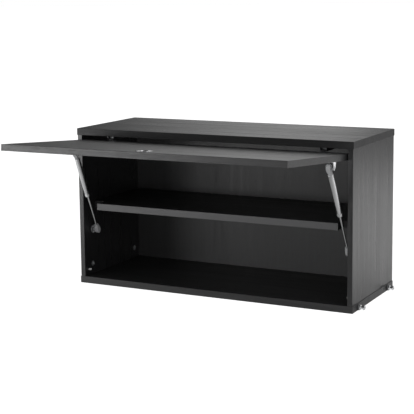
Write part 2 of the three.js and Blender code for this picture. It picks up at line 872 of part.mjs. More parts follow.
/** Hollow tube with a solid threaded top and a bore for the rod in its lower end. */
function strutTube() {
  const inside = tubeRadius - tubeWall;
  const rodBore = rodRadius + rodGap;
  return toGeometry(toSolid(turned([
    [0, tubeTop - tubeEndWall],
    [inside, tubeTop - tubeEndWall],
    [inside, tubeBottom + tubeEndWall],
    [rodBore, tubeBottom + tubeEndWall],
    [rodBore, tubeBottom],
    [tubeRadius - tubeCrimp, tubeBottom],
    [tubeRadius, tubeBottom + tubeCrimp],
    [tubeRadius, tubeTop - tubeCrimp],
    [tubeRadius - tubeCrimp, tubeTop],
    [studThreadRadius, tubeTop],
    [studThreadRadius, tubeTop + threadLength],
    [0, tubeTop + threadLength],
  ])));
}

/** Rod from its fitting into the tube, with the piston on its inner end. */
function strutRod() {
  const pistonBottom = tubeBottom + pistonInset;
  return toGeometry(toSolid(turned([
    [0, fittingReach - threadLength],
    [rodRadius, fittingReach - threadLength],
    [rodRadius, pistonBottom],
    [pistonRadius, pistonBottom],
    [pistonRadius, pistonBottom + pistonLength],
    [0, pistonBottom + pistonLength],
  ])));
}

const anchorSeat = sideInner - fitGap - anchorDiscThickness;

/** Ball at the side panel's end of the strut, its flange flat against the wall disc. */
function anchorBall() {
  const flangeEnd = anchorSeat - fitGap - lowerBall.x;
  const flangeStart = flangeEnd - anchorFlangeLength;
  return toGeometry(toSolid(turnedAlongX([
    ...ballOnNeck(flangeStart),
    [anchorFlangeRadius, flangeStart],
    [anchorFlangeRadius, flangeEnd],
    [0, flangeEnd],
  ], smallRound).translate(...lowerBall)));
}

/** Disc screwed to the side panel behind the strut's lower ball. */
function anchorDisc({ label, sign }) {
  const edge = anchorDiscThickness / 4;
  const disc = turnedAlongX([
    [0, anchorSeat],
    [anchorDiscRadius - edge, anchorSeat],
    [anchorDiscRadius, anchorSeat + edge],
    [anchorDiscRadius, anchorSeat + anchorDiscThickness],
    [0, anchorSeat + anchorDiscThickness],
  ], largeRound);
  const screwHole = (z) => barAlongX(anchorScrewRadius, anchorSeat - 1, sideInner, 0, z);
  const mesh = piece(
    `strut_anchor_disc_${label}`,
    onSide(cut(disc, screwHole(-anchorScrewPlace), screwHole(anchorScrewPlace)), sign),
    finishes.darkPlastic,
  );
  mesh.position.set(0, lowerBall.y, lowerBall.z);
  return mesh;
}

/** Moves a piece from the strut's own frame, lower ball at the origin and Z along it, into place. */
function alongStrut(geometry) {
  const back = strutWay.clone().cross(new THREE.Vector3(1, 0, 0)).normalize();
  const outwards = back.clone().cross(strutWay);
  const place = new THREE.Matrix4().makeBasis(outwards, back, strutWay).setPosition(lowerBall);
  return geometry.applyMatrix4(place);
}

/** One gas strut, from the side panel's ball to the flap's ball. */
function gasStrut({ label, sign }) {
  const strut = new THREE.Group();
  const upperFitting = ballFitting(studThreadRadius).rotateX(Math.PI).translate(0, 0, strutLength);
  const leaning = [
    ['tube', strutTube(), finishes.brightSteel],
    ['upper_fitting', upperFitting, finishes.greyPlastic],
    ['rod', strutRod(), finishes.brightSteel],
    ['lower_fitting', ballFitting(rodRadius), finishes.greyPlastic],
  ];
  strut.add(
    ...leaning.map(([name, geometry, finish]) => piece(
      `strut_${name}_${label}`,
      onSide(alongStrut(geometry), sign),
      finish,
    )),
    piece(`strut_anchor_ball_${label}`, onSide(anchorBall(), sign), finishes.zincSteel),
  );
  return strut;
}

// ---------------------------------------------------------------- assembly

function carcass() {
  const group = new THREE.Group();
  group.add(...boards(), backPanel(), shelf());
  for (const side of sides) {
    group.add(
      sidePanel(side),
      ...camFittings(side),
      ...hangingPegs(side),
      ...shelfPins(side),
      flapStop(side),
      hingePlate(side),
      hingeArm(side),
      anchorDisc(side),
    );
  }
  return group;
}

function flap() {
  const group = new THREE.Group();
  group.position.set(0, pivotY, pivotZ);
  group.rotation.x = -opening;
  group.add(flapPanel(), flushPull());
  for (const { label, sign } of sides) {
    const cup = piece(`hinge_cup_${label}`, hingeCup(), finishes.brightSteel);
    const pin = piece(`hinge_pin_${label}`, hingePin(), finishes.zincSteel);
    cup.position.x = sign * hingePlace;
    pin.position.x = sign * hingePlace;
    group.add(
      cup,
      pin,
      piece(`strut_bracket_${label}`, onSide(strutBracket(), sign), finishes.brightSteel),
    );
  }
  return group;
}

const cabinet = new THREE.Group();
cabinet.add(carcass(), flap(), ...sides.map(gasStrut));

export default cabinet;
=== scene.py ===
"""A wall cabinet whose flap lifts up on cup hinges and two gas struts, dressed for a studio.

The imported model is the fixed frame. Boards keep their solids and get a stained veneer.
The small metal and plastic pieces are modelled again with their real edges and screws.
Sizes are in metres, and written in millimetres.
"""
import json
import logging
import math
from dataclasses import dataclass, field
from enum import Enum
from typing import Callable, Sequence

import bmesh
import bpy
from mathutils import Matrix, Vector


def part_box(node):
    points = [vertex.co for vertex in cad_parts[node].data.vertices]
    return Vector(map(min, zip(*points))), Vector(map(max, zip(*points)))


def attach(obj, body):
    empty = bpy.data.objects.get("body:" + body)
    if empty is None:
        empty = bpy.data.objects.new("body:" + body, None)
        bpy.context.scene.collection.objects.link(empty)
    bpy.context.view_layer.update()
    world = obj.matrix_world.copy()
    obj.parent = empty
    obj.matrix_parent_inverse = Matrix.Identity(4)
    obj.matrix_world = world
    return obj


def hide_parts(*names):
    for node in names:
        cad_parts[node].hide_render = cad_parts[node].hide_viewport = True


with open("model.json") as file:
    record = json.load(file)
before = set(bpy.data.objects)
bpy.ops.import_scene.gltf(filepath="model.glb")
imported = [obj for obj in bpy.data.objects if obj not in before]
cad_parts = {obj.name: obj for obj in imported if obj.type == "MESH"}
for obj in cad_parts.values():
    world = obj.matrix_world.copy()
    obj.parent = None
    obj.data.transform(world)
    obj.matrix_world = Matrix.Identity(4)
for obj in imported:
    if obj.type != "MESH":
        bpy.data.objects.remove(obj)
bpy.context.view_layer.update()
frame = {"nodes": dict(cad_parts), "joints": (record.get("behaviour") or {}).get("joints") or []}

MM = 0.001
X_WAY, Y_WAY, Z_WAY = (Vector(row) for row in Matrix.Identity(3))
CARCASS = "carcass"
FLAP = "flap"
ENDS = ("front", "rear")
Point = tuple[float, float]
Triple = tuple[float, float, float]

logging.basicConfig(level=logging.INFO, format="%(message)s")
log = logging.getLogger("cabinet")


# ------------------------------------------------------------------ shader expressions


def add_node(
    tree: bpy.types.NodeTree, kind: str, settings: dict[str, object], inputs: dict[int | str, object]
) -> bpy.types.Node:
    """Adds a node.

    Args:
        tree: The tree that gets it.
        kind: Its type.
        settings: Its attributes, set before its sockets.
        inputs: The value of each socket, or the output that is linked to it.

    Returns:
        The node.
    """
    made = tree.nodes.new(kind)
    for name, value in settings.items():
        setattr(made, name, value)
    for key, value in inputs.items():
        socket = made.inputs[key]
        if isinstance(value, bpy.types.NodeSocket):
            tree.links.new(value, socket)
        else:
            socket.default_value = (*value, 1.0) if socket.type == "RGBA" else value
    return made


def operator(operation: str, swapped: bool = False) -> Callable[["Signal", "Signal | float"], "Signal"]:
    """A method that joins a signal and another value in a Math node.

    Args:
        operation: The node's operation.
        swapped: Whether the other value comes first.

    Returns:
        The method.
    """

    def method(self: "Signal", other: "Signal | float") -> "Signal":
        """The operation on this signal and another value."""
        return self.math(operation, *((other, self) if swapped else (self, other)))

    return method


class Signal:
    """A shader socket that takes part in arithmetic as a Python value."""

    def __init__(self, tree: "ShaderTree", socket: bpy.types.NodeSocket | None) -> None:
        """Wraps an output socket of a tree."""
        self.tree = tree
        self.socket = socket

    def math(self, operation: str, *operands: "Signal | float") -> "Signal":
        """Adds a Math node on the given operands."""
        return self.tree.node("ShaderNodeMath", {"operation": operation}, dict(enumerate(operands)))

    __add__ = operator("ADD")
    __radd__ = __add__
    __sub__ = operator("SUBTRACT")
    __rsub__ = operator("SUBTRACT", swapped=True)
    __mul__ = operator("MULTIPLY")
    __rmul__ = __mul__
    __truediv__ = operator("DIVIDE")
    highest = operator("MAXIMUM")

    def root(self) -> "Signal":
        """The square root."""
        return self.math("SQRT", self)

    def ramp(self, low: float, high: float) -> "Signal":
        """A smooth step from 0 at low to 1 at high.

        Args:
            low: The value where the step starts.
            high: The value where it ends; it may be below low.

        Returns:
            The step, held between 0 and 1.
        """
        return self.tree.node(
            "ShaderNodeMapRange",
            {"interpolation_type": "SMOOTHSTEP", "clamp": True},
            {"Value": self, "From Min": low, "From Max": high},
        )


Input = Signal | float | Triple


class ShaderTree:
    """The node tree of one material or world."""

    MIX_SHARE, MIX_FIRST, MIX_SECOND, MIX_RESULT = 0, 6, 7, 2

    def __init__(self, owner: bpy.types.Material | bpy.types.World) -> None:
        """Empties the owner's node tree and takes it over.

        Args:
            owner: The material or world.
        """
        owner.use_nodes = True
        self.tree = owner.node_tree
        self.tree.nodes.clear()

    def node(
        self,
        kind: str,
        settings: dict[str, object] | None = None,
        inputs: dict[int | str, Input] | None = None,
        output: int | str = 0,
    ) -> Signal:
        """Adds a node.

        Args:
            kind: Its type.
            settings: Its attributes.
            inputs: Values or signals for its sockets, by name or index.
            output: The output socket to return.

        Returns:
            The chosen output.
        """
        plain = {
            key: value.socket if isinstance(value, Signal) else value
            for key, value in (inputs or {}).items()
        }
        made = add_node(self.tree, kind, settings or {}, plain)
        return Signal(self, made.outputs[output] if made.outputs else None)

    def mixed(self, share: Input, first: Input, second: Input) -> Signal:
        """A colour between two others.

        Args:
            share: How much of the second colour, from 0 to 1.
            first: The colour at 0.
            second: The colour at 1.

        Returns:
            The mixed colour.
        """
        inputs = {self.MIX_SHARE: share, self.MIX_FIRST: first, self.MIX_SECOND: second}
        return self.node("ShaderNodeMix", {"data_type": "RGBA"}, inputs, self.MIX_RESULT)

    def place(self, scale: Triple = (1.0, 1.0, 1.0), shift: Triple = (0.0, 0.0, 0.0)) -> Signal:
        """Object coordinates in metres, scaled and then shifted.

        Args:
            scale: What each coordinate is multiplied by.
            shift: What is then added to it.

        Returns:
            The coordinates.
        """
        coordinates = self.node("ShaderNodeTexCoord", output="Object")
        inputs = {"Vector": coordinates, "Scale": scale, "Location": shift}
        return self.node("ShaderNodeMapping", {"vector_type": "POINT"}, inputs)

    def noise(self, at: Signal, scale: float, detail: float = 2.0, roughness: float = 0.5) -> Signal:
        """Smooth noise between 0 and 1.

        Args:
            at: Where it is read.
            scale: Cells for each unit of the coordinates.
            detail: Octaves on top of the first.
            roughness: How strong each finer octave is.

        Returns:
            The noise value.
        """
        inputs = {"Vector": at, "Scale": scale, "Detail": detail, "Roughness": roughness}
        return self.node("ShaderNodeTexNoise", {"noise_dimensions": "3D"}, inputs)

    def apart(self, vector: Signal) -> list[Signal]:
        """The X, Y and Z of a vector."""
        split = self.node("ShaderNodeSeparateXYZ", inputs={0: vector}).socket.node
        return [Signal(self, output) for output in split.outputs]

    def length(self, vector: Signal) -> Signal:
        """The length of a vector."""
        return self.node("ShaderNodeVectorMath", {"operation": "LENGTH"}, {0: vector}, "Value")

    def surround(self, light: float, mirrored: Signal) -> Signal:
        """How bright the surround is for each kind of ray.

        Args:
            light: Its brightness as light on the cabinet.
            mirrored: Its brightness, up to 1, in shiny faces.

        Returns:
            The brightness: 1 where the camera sees the surround, straight or through glass.
        """
        camera, mirror, through = (
            self.node("ShaderNodeLightPath", output=f"Is {kind} Ray")
            for kind in ("Camera", "Glossy", "Transmission")
        )
        return light + mirror * (mirrored - light) + camera.highest(through) * (1.0 - light)

    def bump(self, height: Signal, distance: float, strength: float = 1.0) -> Signal:
        """A normal from a height, with the height's unit as a distance in metres."""
        inputs = {"Height": height, "Distance": distance, "Strength": strength}
        return self.node("ShaderNodeBump", {}, inputs, "Normal")

    def surface(self, **sockets: Input) -> None:
        """Ends the tree in a Principled BSDF.

        Args:
            **sockets: Values or signals; underscores in the names stand for spaces.
        """
        inputs = {name.replace("_", " "): value for name, value in sockets.items()}
        shader = self.node("ShaderNodeBsdfPrincipled", inputs=inputs)
        self.node("ShaderNodeOutputMaterial", inputs={"Surface": shader})


# ------------------------------------------------------------------ finishes


@dataclass(frozen=True)
class PackedFinish:
    """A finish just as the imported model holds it, under its slot's name."""

    slot: str

    @property
    def material(self) -> bpy.types.Material:
        """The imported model's material."""
        return bpy.data.materials[self.slot]


@dataclass(frozen=True)
class Recipe:
    """A finish with a node tree of its own, and the record's slot that it belongs to."""

    name: str
    slot: str

    def paint(self, tree: ShaderTree) -> None:
        """Fills the node tree."""
        raise NotImplementedError

    @property
    def material(self) -> bpy.types.Material:
        """The material, made when it is first asked for.

        Returns:
            The material.
        """
        made = bpy.data.materials.get(self.name)
        if made is None:
            made = bpy.data.materials.new(self.name)
            self.paint(ShaderTree(made))
        return made


class Grain(Enum):
    """The way the fibres of a board run: the figure's cells are long where the scale is small."""

    ACROSS = (0.035, 1.0, 1.0)
    UPRIGHT = (1.0, 1.0, 0.035)


@dataclass(frozen=True)
class StainedVeneer(Recipe):
    """Near-black stained veneer with fine open pores under a satin lacquer.

    The scales are cells for each metre across the fibres.
    """

    grain: Grain
    leaf: int
    gloss: float
    front: float
    end: float
    paler_front: float = 0.0
    matter_edges: float = 0.0
    haze: float = 0.0
    dark: Triple = (0.0115, 0.0115, 0.0122)
    light: Triple = (0.0250, 0.0250, 0.0260)
    edge: Triple = (0.075, 0.075, 0.077)
    pore: Triple = (0.005, 0.005, 0.0055)
    fade: float = 0.4 * MM
    haze_roughness: float = 0.6
    leaf_shift: Triple = (0.37, 0.61, 0.23)
    sway_scale: float = 9.0
    streak_scale: float = 38.0
    figure_scale: float = 95.0
    fibre_scale: float = 620.0
    pore_scale: float = 1500.0
    relief: float = 0.09 * MM

    def _edges(self, tree: ShaderTree) -> tuple[Signal, Signal]:
        """Masks of the edges, where the veneer is a glued strip.

        Args:
            tree: The tree that they are made in.

        Returns:
            The mask of the front edge, and that of all edges.
        """
        x, y, _ = tree.apart(tree.place())
        front = y.ramp(self.front + self.fade, self.front)
        ends = (x * x).ramp((self.end - self.fade) ** 2, self.end**2)
        return front, front.highest(ends)

    def paint(self, tree: ShaderTree) -> None:
        """Lays the figure, the pores and the lacquer; each leaf number has its own figure.

        Args:
            tree: The empty tree.
        """
        shift = tuple(self.leaf * step for step in self.leaf_shift)
        along = tree.place(self.grain.value, shift)
        sway = tree.noise(tree.place(shift=shift), self.sway_scale, 1.0)
        figure = tree.noise(along, self.figure_scale, 3.0, 0.55)
        fibre = tree.noise(along, self.fibre_scale, 4.0, 0.62)
        streak = tree.noise(along, self.streak_scale, 3.0, 0.6).ramp(0.30, 0.70)
        pores = tree.noise(along, self.pore_scale, 1.0, 0.4).ramp(0.60, 0.72)
        tone = figure.ramp(0.32, 0.72) * 0.40 + fibre.ramp(0.25, 0.78) * 0.30
        tone = tone + streak * 0.20 + sway * 0.10
        colour = tree.mixed(tone, self.dark, self.light)
        colour = tree.mixed(pores * 0.6, colour, self.pore)
        satin = self.gloss + fibre * 0.10 + figure.ramp(0.35, 0.65) * 0.06
        satin = satin + streak * 0.05 + pores * 0.10
        relief = fibre * 0.35 + figure * 0.15 - pores * 0.8
        front, edges = self._edges(tree)
        coat = {}
        if self.paler_front:
            share = front * (0.7 + fibre * 0.6) * self.paler_front
            colour = tree.mixed(share, colour, self.edge)
        if self.matter_edges:
            satin = satin + edges * self.matter_edges
        if self.haze:
            coat = {"Coat_Weight": (1.0 - edges) * self.haze, "Coat_Roughness": self.haze_roughness}
        normal = tree.bump(relief, self.relief, 0.6)
        tree.surface(Base_Color=colour, Roughness=satin, Specular_IOR_Level=0.5, Normal=normal, **coat)


@dataclass(frozen=True)
class Metal(Recipe):
    """Plated steel with soft clouding and fine working marks."""

    colour: Triple
    roughness: float
    marks: Triple = (1.0, 1.0, 1.0)
    cloud: float = 0.10
    cloud_scale: float = 120.0
    mark_scale: float = 2600.0
    mark_depth: float = 0.004 * MM
    shade: float = 0.82

    def paint(self, tree: ShaderTree) -> None:
        """Clouds the colour and the sheen, and adds the marks.

        Args:
            tree: The empty tree.
        """
        clouds = tree.noise(tree.place(), self.cloud_scale)
        marks = tree.noise(tree.place(self.marks), self.mark_scale, 2.0, 0.6)
        dull = tuple(channel * self.shade for channel in self.colour)
        tree.surface(
            Base_Color=tree.mixed(clouds * 0.6 + marks * 0.4, dull, self.colour),
            Metallic=1.0,
            Roughness=self.roughness + (clouds - 0.5) * self.cloud + (marks - 0.5) * 0.08,
            Normal=tree.bump(marks, self.mark_depth),
        )


@dataclass(frozen=True)
class SpunMetal(Recipe):
    """Metal with concentric turning marks round a centre in X and Y."""

    colour: Triple
    roughness: float
    centre: Vector
    pitch: float = 0.5 * MM
    cloud_scale: float = 150.0
    mark_depth: float = 0.01 * MM
    shade: float = 0.72

    def paint(self, tree: ShaderTree) -> None:
        """Lays the rings round the centre, under a faint clouding.

        Args:
            tree: The empty tree.
        """
        reach = tree.length(tree.place((1.0, 1.0, 0.0), (-self.centre.x, -self.centre.y, 0.0)))
        ring = tree.node("ShaderNodeCombineXYZ", inputs={"X": reach})
        rings = tree.noise(ring, 1.0 / self.pitch, 2.0, 0.7)
        clouds = tree.noise(tree.place(), self.cloud_scale, 1.0)
        dull = tuple(channel * self.shade for channel in self.colour)
        tree.surface(
            Base_Color=tree.mixed(rings, dull, self.colour),
            Metallic=1.0,
            Roughness=self.roughness + (rings - 0.5) * 0.18 + (clouds - 0.5) * 0.06,
            Normal=tree.bump(rings, self.mark_depth),
        )


class Finish(Enum):
    """The finishes of the small pieces."""

    BRIGHT = PackedFinish("bright_steel")
    # Painted shade: the hinge arms get a dark copy of bright steel, standing in for the shade they sit in
    # under the top board.
    HINGE = Metal("hinge_steel", "bright_steel", (0.16, 0.16, 0.165), 0.38, cloud=0.16)
    ROD = Metal("ground_rod", "bright_steel", (0.62, 0.625, 0.63), 0.24)
    TUBE = Metal("satin_tube", "bright_steel", (0.78, 0.785, 0.79), 0.24, (1.0, 1.0, 0.15))
    ZINC = PackedFinish("zinc_steel")
    DARK = PackedFinish("dark_plastic")
    GREY = PackedFinish("grey_plastic")
    STOP = PackedFinish("stop_plastic")

    @property
    def slot(self) -> str:
        """The record's material slot."""
        return self.value.slot

    @property
    def material(self) -> bpy.types.Material:
        """The material."""
        return self.value.material


# ------------------------------------------------------------------ placing and outlines


def place_at(origin: Sequence[float], along: Vector, across: Vector = X_WAY) -> Matrix:
    """A placement with a given way of local Z.

    Args:
        origin: Where the local origin goes.
        along: The way of local Z.
        across: The wished way of local X.

    Returns:
        The 4 by 4 placement, its X as near as can be to the wished one.
    """
    z_way = along.normalized()
    y_way = z_way.cross(across).normalized()
    x_way = y_way.cross(z_way)
    turn = Matrix((x_way, y_way, z_way)).transposed().to_4x4()
    return Matrix.Translation(origin) @ turn


def outward(x: float, y: float, z: float) -> Matrix:
    """A placement with its Z to the cabinet's right and its X up."""
    return place_at((x, y, z), X_WAY, Z_WAY)


def sideways(x: float) -> Matrix:
    """A placement with its Z to the right, whose X and Y are the rearward and upward ways."""
    return place_at((x, 0.0, 0.0), X_WAY, Y_WAY)


def arc(u: float, v: float, radius: float, start: float, end: float, steps: int) -> list[Point]:
    """Points of an arc.

    Args:
        u: First coordinate of its centre.
        v: Second coordinate of its centre.
        radius: Its radius.
        start: Angle where it starts, in degrees.
        end: Angle where it ends.
        steps: Facets.

    Returns:
        The points, both ends included.
    """
    angles = (math.radians(start + (end - start) * step / steps) for step in range(steps + 1))
    return [(u + radius * math.cos(angle), v + radius * math.sin(angle)) for angle in angles]


def low_edge(radius: float, height: float, soft: float, steps: int) -> list[Point]:
    """The rounded lower edge of a turned profile, from a height up to its radius."""
    return arc(radius - soft, height + soft, soft, -90.0, 0.0, steps)


def high_edge(radius: float, height: float, soft: float, steps: int) -> list[Point]:
    """The rounded upper edge of a turned profile, from its radius up to a height."""
    return arc(radius - soft, height - soft, soft, 0.0, 90.0, steps)


def stadium(width: float, depth: float, steps: int) -> list[Point]:
    """A strip with round ends.

    Args:
        width: Its full width.
        depth: Its depth, which is also the width of its round ends.
        steps: Facets in each end.

    Returns:
        The outline, in order.
    """
    end = depth / 2.0
    reach = width / 2.0 - end
    return [*arc(reach, 0.0, end, -90.0, 90.0, steps), *arc(-reach, 0.0, end, 90.0, 270.0, steps)]


def bent_strip(
    line: Sequence[Point], thickness: float, bend: float, steps: int = 5, most: float = 0.45
) -> list[Point]:
    """The outline of a strip that follows a line, its bends rounded.

    Args:
        line: Corners of the strip's middle line.
        thickness: Of the strip.
        bend: Radius of the middle line at each corner.
        steps: Facets in each bend.
        most: The share of a stretch that a bend may take.

    Returns:
        The outline, in order.
    """
    corners = [Vector(point) for point in line]
    path = [corners[0]]
    for before, corner, after in zip(corners, corners[1:], corners[2:]):
        back, ahead = (before - corner).normalized(), (after - corner).normalized()
        reach = bend * math.tan((math.pi - back.angle(ahead)) / 2.0)
        reach = min(reach, most * (before - corner).length, most * (after - corner).length)
        start, end = corner + back * reach, corner + ahead * reach
        for step in range(steps + 1):
            share = step / steps
            path.append(start.lerp(corner, share).lerp(corner.lerp(end, share), share))
    path.append(corners[-1])
    left, right = [], []
    for point, way in zip(path, ways_along(path)):
        off = Vector((-way.y, way.x)) * thickness / 2.0
        left.append(tuple(point + off))
        right.append(tuple(point - off))
    return right + left[::-1]


def ways_along(path: Sequence[Vector]) -> list[Vector]:
    """The way that a path runs at each of its points."""
    afters, befores = [*path[1:], path[-1]], [path[0], *path[:-1]]
    return [(after - before).normalized() for after, before in zip(afters, befores)]


# ------------------------------------------------------------------ shapes and pieces


def linked(name: str, data: bpy.types.ID) -> bpy.types.Object:
    """A new object in the scene, at the origin.

    Args:
        name: Its name.
        data: Its mesh, lamp or camera data.

    Returns:
        The object.
    """
    made = bpy.data.objects.new(name, data)
    bpy.context.scene.collection.objects.link(made)
    return made


def evaluated(made: bpy.types.Object, *tools: bpy.types.Object) -> bpy.types.Mesh:
    """Runs an object's modifiers, and removes it and the tools that they use.

    Args:
        made: The object.
        *tools: Other objects that its modifiers use.

    Returns:
        The plain mesh that it gives.
    """
    graph = bpy.context.evaluated_depsgraph_get()
    result = bpy.data.meshes.new_from_object(made.evaluated_get(graph))
    for scratch in (made, *tools):
        data = scratch.data
        bpy.data.objects.remove(scratch)
        bpy.data.meshes.remove(data)
    return result


def register(
    made: bpy.types.Object, finish: Finish | Recipe, body: str, *nodes: str, sharp: float = 32.0
) -> None:
    """Smooths a piece, hangs it on the empty of the body that it moves with, and hides the solids that it
    replaces.

    Args:
        made: The piece.
        finish: Its finish; only its slot is read, and it is not kept.
        body: The body that it moves with.
        *nodes: The solids that it replaces.
        sharp: Edges bent more than this, in degrees, stay sharp.
    """
    made.data.name = made.name
    made.data.shade_smooth()
    made.data.set_sharp_from_angle(angle=math.radians(sharp))
    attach(made, body)
    finish.slot
    if nodes:
        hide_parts(*nodes)
    log.info("piece %s on %s, %d faces", made.name, body, len(made.data.polygons))


class Shape:
    """A mesh in the making, in metres and in the cabinet's frame."""

    def __init__(self) -> None:
        """Starts with nothing."""
        self.mesh = bmesh.new()

    def _skin(self, rings: Sequence[Sequence[bmesh.types.BMVert]], segments: int) -> None:
        """Puts faces between neighbouring rings; a ring of one point closes to a tip.

        Args:
            rings: The vertices of each ring.
            segments: Facets round the shape.
        """
        for low, high in zip(rings, rings[1:]):
            for step in range(segments):
                after = (step + 1) % segments
                around = (
                    low[step % len(low)], low[after % len(low)],
                    high[after % len(high)], high[step % len(high)],
                )
                corners = list(dict.fromkeys(around))
                if len(corners) > 2:
                    self.mesh.faces.new(corners)

    @classmethod
    def turned(cls, profile: Sequence[Point], place: Matrix, segments: int = 48) -> "Shape":
        """A closed shape turned about the placement's Z.

        Args:
            profile: Radius and height of each point, in order; radius 0 is on the axis.
            place: The placement.
            segments: Facets round the axis.

        Returns:
            The shape.
        """
        shape = cls()
        rings = []
        for radius, height in profile:
            ring = []
            for step in range(segments if radius > 0.0 else 1):
                angle = math.tau * step / segments
                spot = Vector((radius * math.cos(angle), radius * math.sin(angle), height))
                ring.append(shape.mesh.verts.new(place @ spot))
            rings.append(ring)
        if profile[0][0] > 0.0:
            rings.append(rings[0])
        shape._skin(rings, segments)
        return shape

    @classmethod
    def rod(cls, radius: float, low: float, high: float, place: Matrix, segments: int = 24) -> "Shape":
        """A cylinder along the placement's Z, between two heights."""
        return cls.turned([(0.0, low), (radius, low), (radius, high), (0.0, high)], place, segments)

    @classmethod
    def plate(cls, outline: Sequence[Point], thickness: float, place: Matrix, edge: float = 0.0) -> "Shape":
        """An outline in the placement's X and Y, raised along its Z.

        Args:
            outline: Corners in order.
            thickness: Height along Z.
            place: The placement.
            edge: Width of its rounded edges; 0 leaves them sharp.

        Returns:
            The shape.
        """
        shape = cls()
        bottom, top = (
            [shape.mesh.verts.new(Vector((u, v, height))) for u, v in outline]
            for height in (0.0, thickness)
        )
        shape.mesh.faces.new(bottom[::-1])
        shape.mesh.faces.new(top)
        for i, after in zip(range(len(outline)), [*range(1, len(outline)), 0]):
            shape.mesh.faces.new([bottom[i], bottom[after], top[after], top[i]])
        if edge > 0.0:
            shape._soften(edge)
        bmesh.ops.transform(shape.mesh, matrix=place, verts=shape.mesh.verts)
        return shape

    def _soften(self, edge: float, bend: float = 0.7) -> None:
        """Rounds a plate's level edges, and its upright ones where the sides bend.

        Args:
            edge: Width of the rounded edges.
            bend: The least bend of an upright edge that is rounded, in radians.
        """
        level, upright = [], []
        for each in self.mesh.edges:
            foot, head = each.verts
            (level if foot.co.z == head.co.z else upright).append(each)
        corners = [each for each in upright if each.calc_face_angle(0.0) > bend]
        bmesh.ops.bevel(
            self.mesh, geom=level + corners, offset=edge, segments=2, profile=0.6,
            affect="EDGES", clamp_overlap=True,
        )

    @classmethod
    def box(cls, low: Vector, high: Vector, edge: float = 0.0) -> "Shape":
        """A box between two corners, with rounded edges."""
        outline = [(low.x, low.y), (high.x, low.y), (high.x, high.y), (low.x, high.y)]
        return cls.plate(outline, high.z - low.z, Matrix.Translation((0.0, 0.0, low.z)), edge)

    @classmethod
    def wire(cls, line: Sequence[Vector], radius: float, facets: int = 10) -> "Shape":
        """A round wire along a line of points.

        Args:
            line: The middle line.
            radius: Of the wire.
            facets: Round the wire.

        Returns:
            The shape.
        """
        shape = cls()
        rings = []
        side = (line[1] - line[0]).orthogonal().normalized()
        for point, way in zip(line, ways_along(line)):
            side = (side - way * side.dot(way)).normalized()
            other = way.cross(side)
            spots = (
                point + (side * math.cos(angle) + other * math.sin(angle)) * radius
                for angle in (math.tau * step / facets for step in range(facets))
            )
            rings.append([shape.mesh.verts.new(spot) for spot in spots])
        shape._skin(rings, facets)
        shape.mesh.faces.new(rings[0][::-1])
        shape.mesh.faces.new(rings[-1])
        return shape

    def object(self, name: str = "scratch") -> bpy.types.Object:
        """An object with this mesh.

        Args:
            name: Its name.

        Returns:
            The object.
        """
        bmesh.ops.recalc_face_normals(self.mesh, faces=self.mesh.faces)
        data = bpy.data.meshes.new(name)
        self.mesh.to_mesh(data)
        return linked(name, data)

    def _boolean(self, others: Sequence["Shape"], operation: str) -> "Shape":
        """This shape with the others joined to it or cut out of it.

        Args:
            others: The other shapes.
            operation: The modifier's operation.

        Returns:
            The new shape.
        """
        body = self.object()
        tools = [other.object() for other in others]
        for tool in tools:
            step = body.modifiers.new("step", "BOOLEAN")
            step.operation = operation
            step.solver = "EXACT"
            step.object = tool
        result = evaluated(body, *tools)
        made = Shape()
        made.mesh.from_mesh(result)
        bmesh.ops.remove_doubles(made.mesh, verts=made.mesh.verts, dist=1e-7)
        bmesh.ops.dissolve_degenerate(made.mesh, edges=made.mesh.edges, dist=1e-7)
        bpy.data.meshes.remove(result)
        return made

    def joined(self, *others: "Shape") -> "Shape":
        """The union with other shapes."""
        return self._boolean(others, "UNION")

    def carved(self, *others: "Shape") -> "Shape":
        """This shape with others cut out of it."""
        return self._boolean(others, "DIFFERENCE")

    def mirrored(self, sign: int) -> "Shape":
        """This shape, or its mirror image.

        Args:
            sign: +1 for the right end, where it stays as it is, and -1 for the left.

        Returns:
            The shape.
        """
        if sign < 0:
            bmesh.ops.scale(self.mesh, vec=(-1.0, 1.0, 1.0), verts=self.mesh.verts)
            bmesh.ops.reverse_faces(self.mesh, faces=self.mesh.faces)
        return self

    def piece(
        self,
        node: str,
        kind: str,
        finish: Finish | Recipe,
        body: str = CARCASS,
        extra: bool = False,
        sharp: float = 32.0,
    ) -> None:
        """Makes the finished piece.

        Args:
            node: The solid that it dresses.
            kind: What its name adds to the solid's.
            finish: Its finish.
            body: The body that it rides on.
            extra: Whether it is added to the solid, and doesn't stand for it.
            sharp: Edges bent more than this, in degrees, stay sharp.
        """
        made = self.object(f"{node}_{kind}")
        made.data.materials.append(finish.material)
        register(made, finish, body, *([] if extra else [node]), sharp=sharp)


@dataclass(frozen=True)
class Extent:
    """Where a solid of the frame lies."""

    low: Vector
    high: Vector

    @classmethod
    def of(cls, node: str) -> "Extent":
        """The box of a node at rest."""
        return cls(*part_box(node))

    @property
    def middle(self) -> Vector:
        """The centre of the box."""
        return (self.low + self.high) / 2.0

    @property
    def size(self) -> Vector:
        """The three sides of the box."""
        return self.high - self.low

    @property
    def radius(self) -> float:
        """The radius of a round solid that lies along X."""
        return self.size.y / 2.0

    @property
    def ends(self) -> list[float]:
        """How far its two ends lie from the cabinet's middle, the inner one first."""
        return sorted((abs(self.low.x), abs(self.high.x)))

    def outward(self, x: float) -> Matrix:
        """A placement on its axis at a distance from the cabinet's middle, Z to the right."""
        return outward(x, self.middle.y, self.middle.z)


def joint(name: str) -> dict[str, object]:
    """A joint of the frame by its name."""
    return next(each for each in frame["joints"] if each["name"] == name)


# ------------------------------------------------------------------ screws


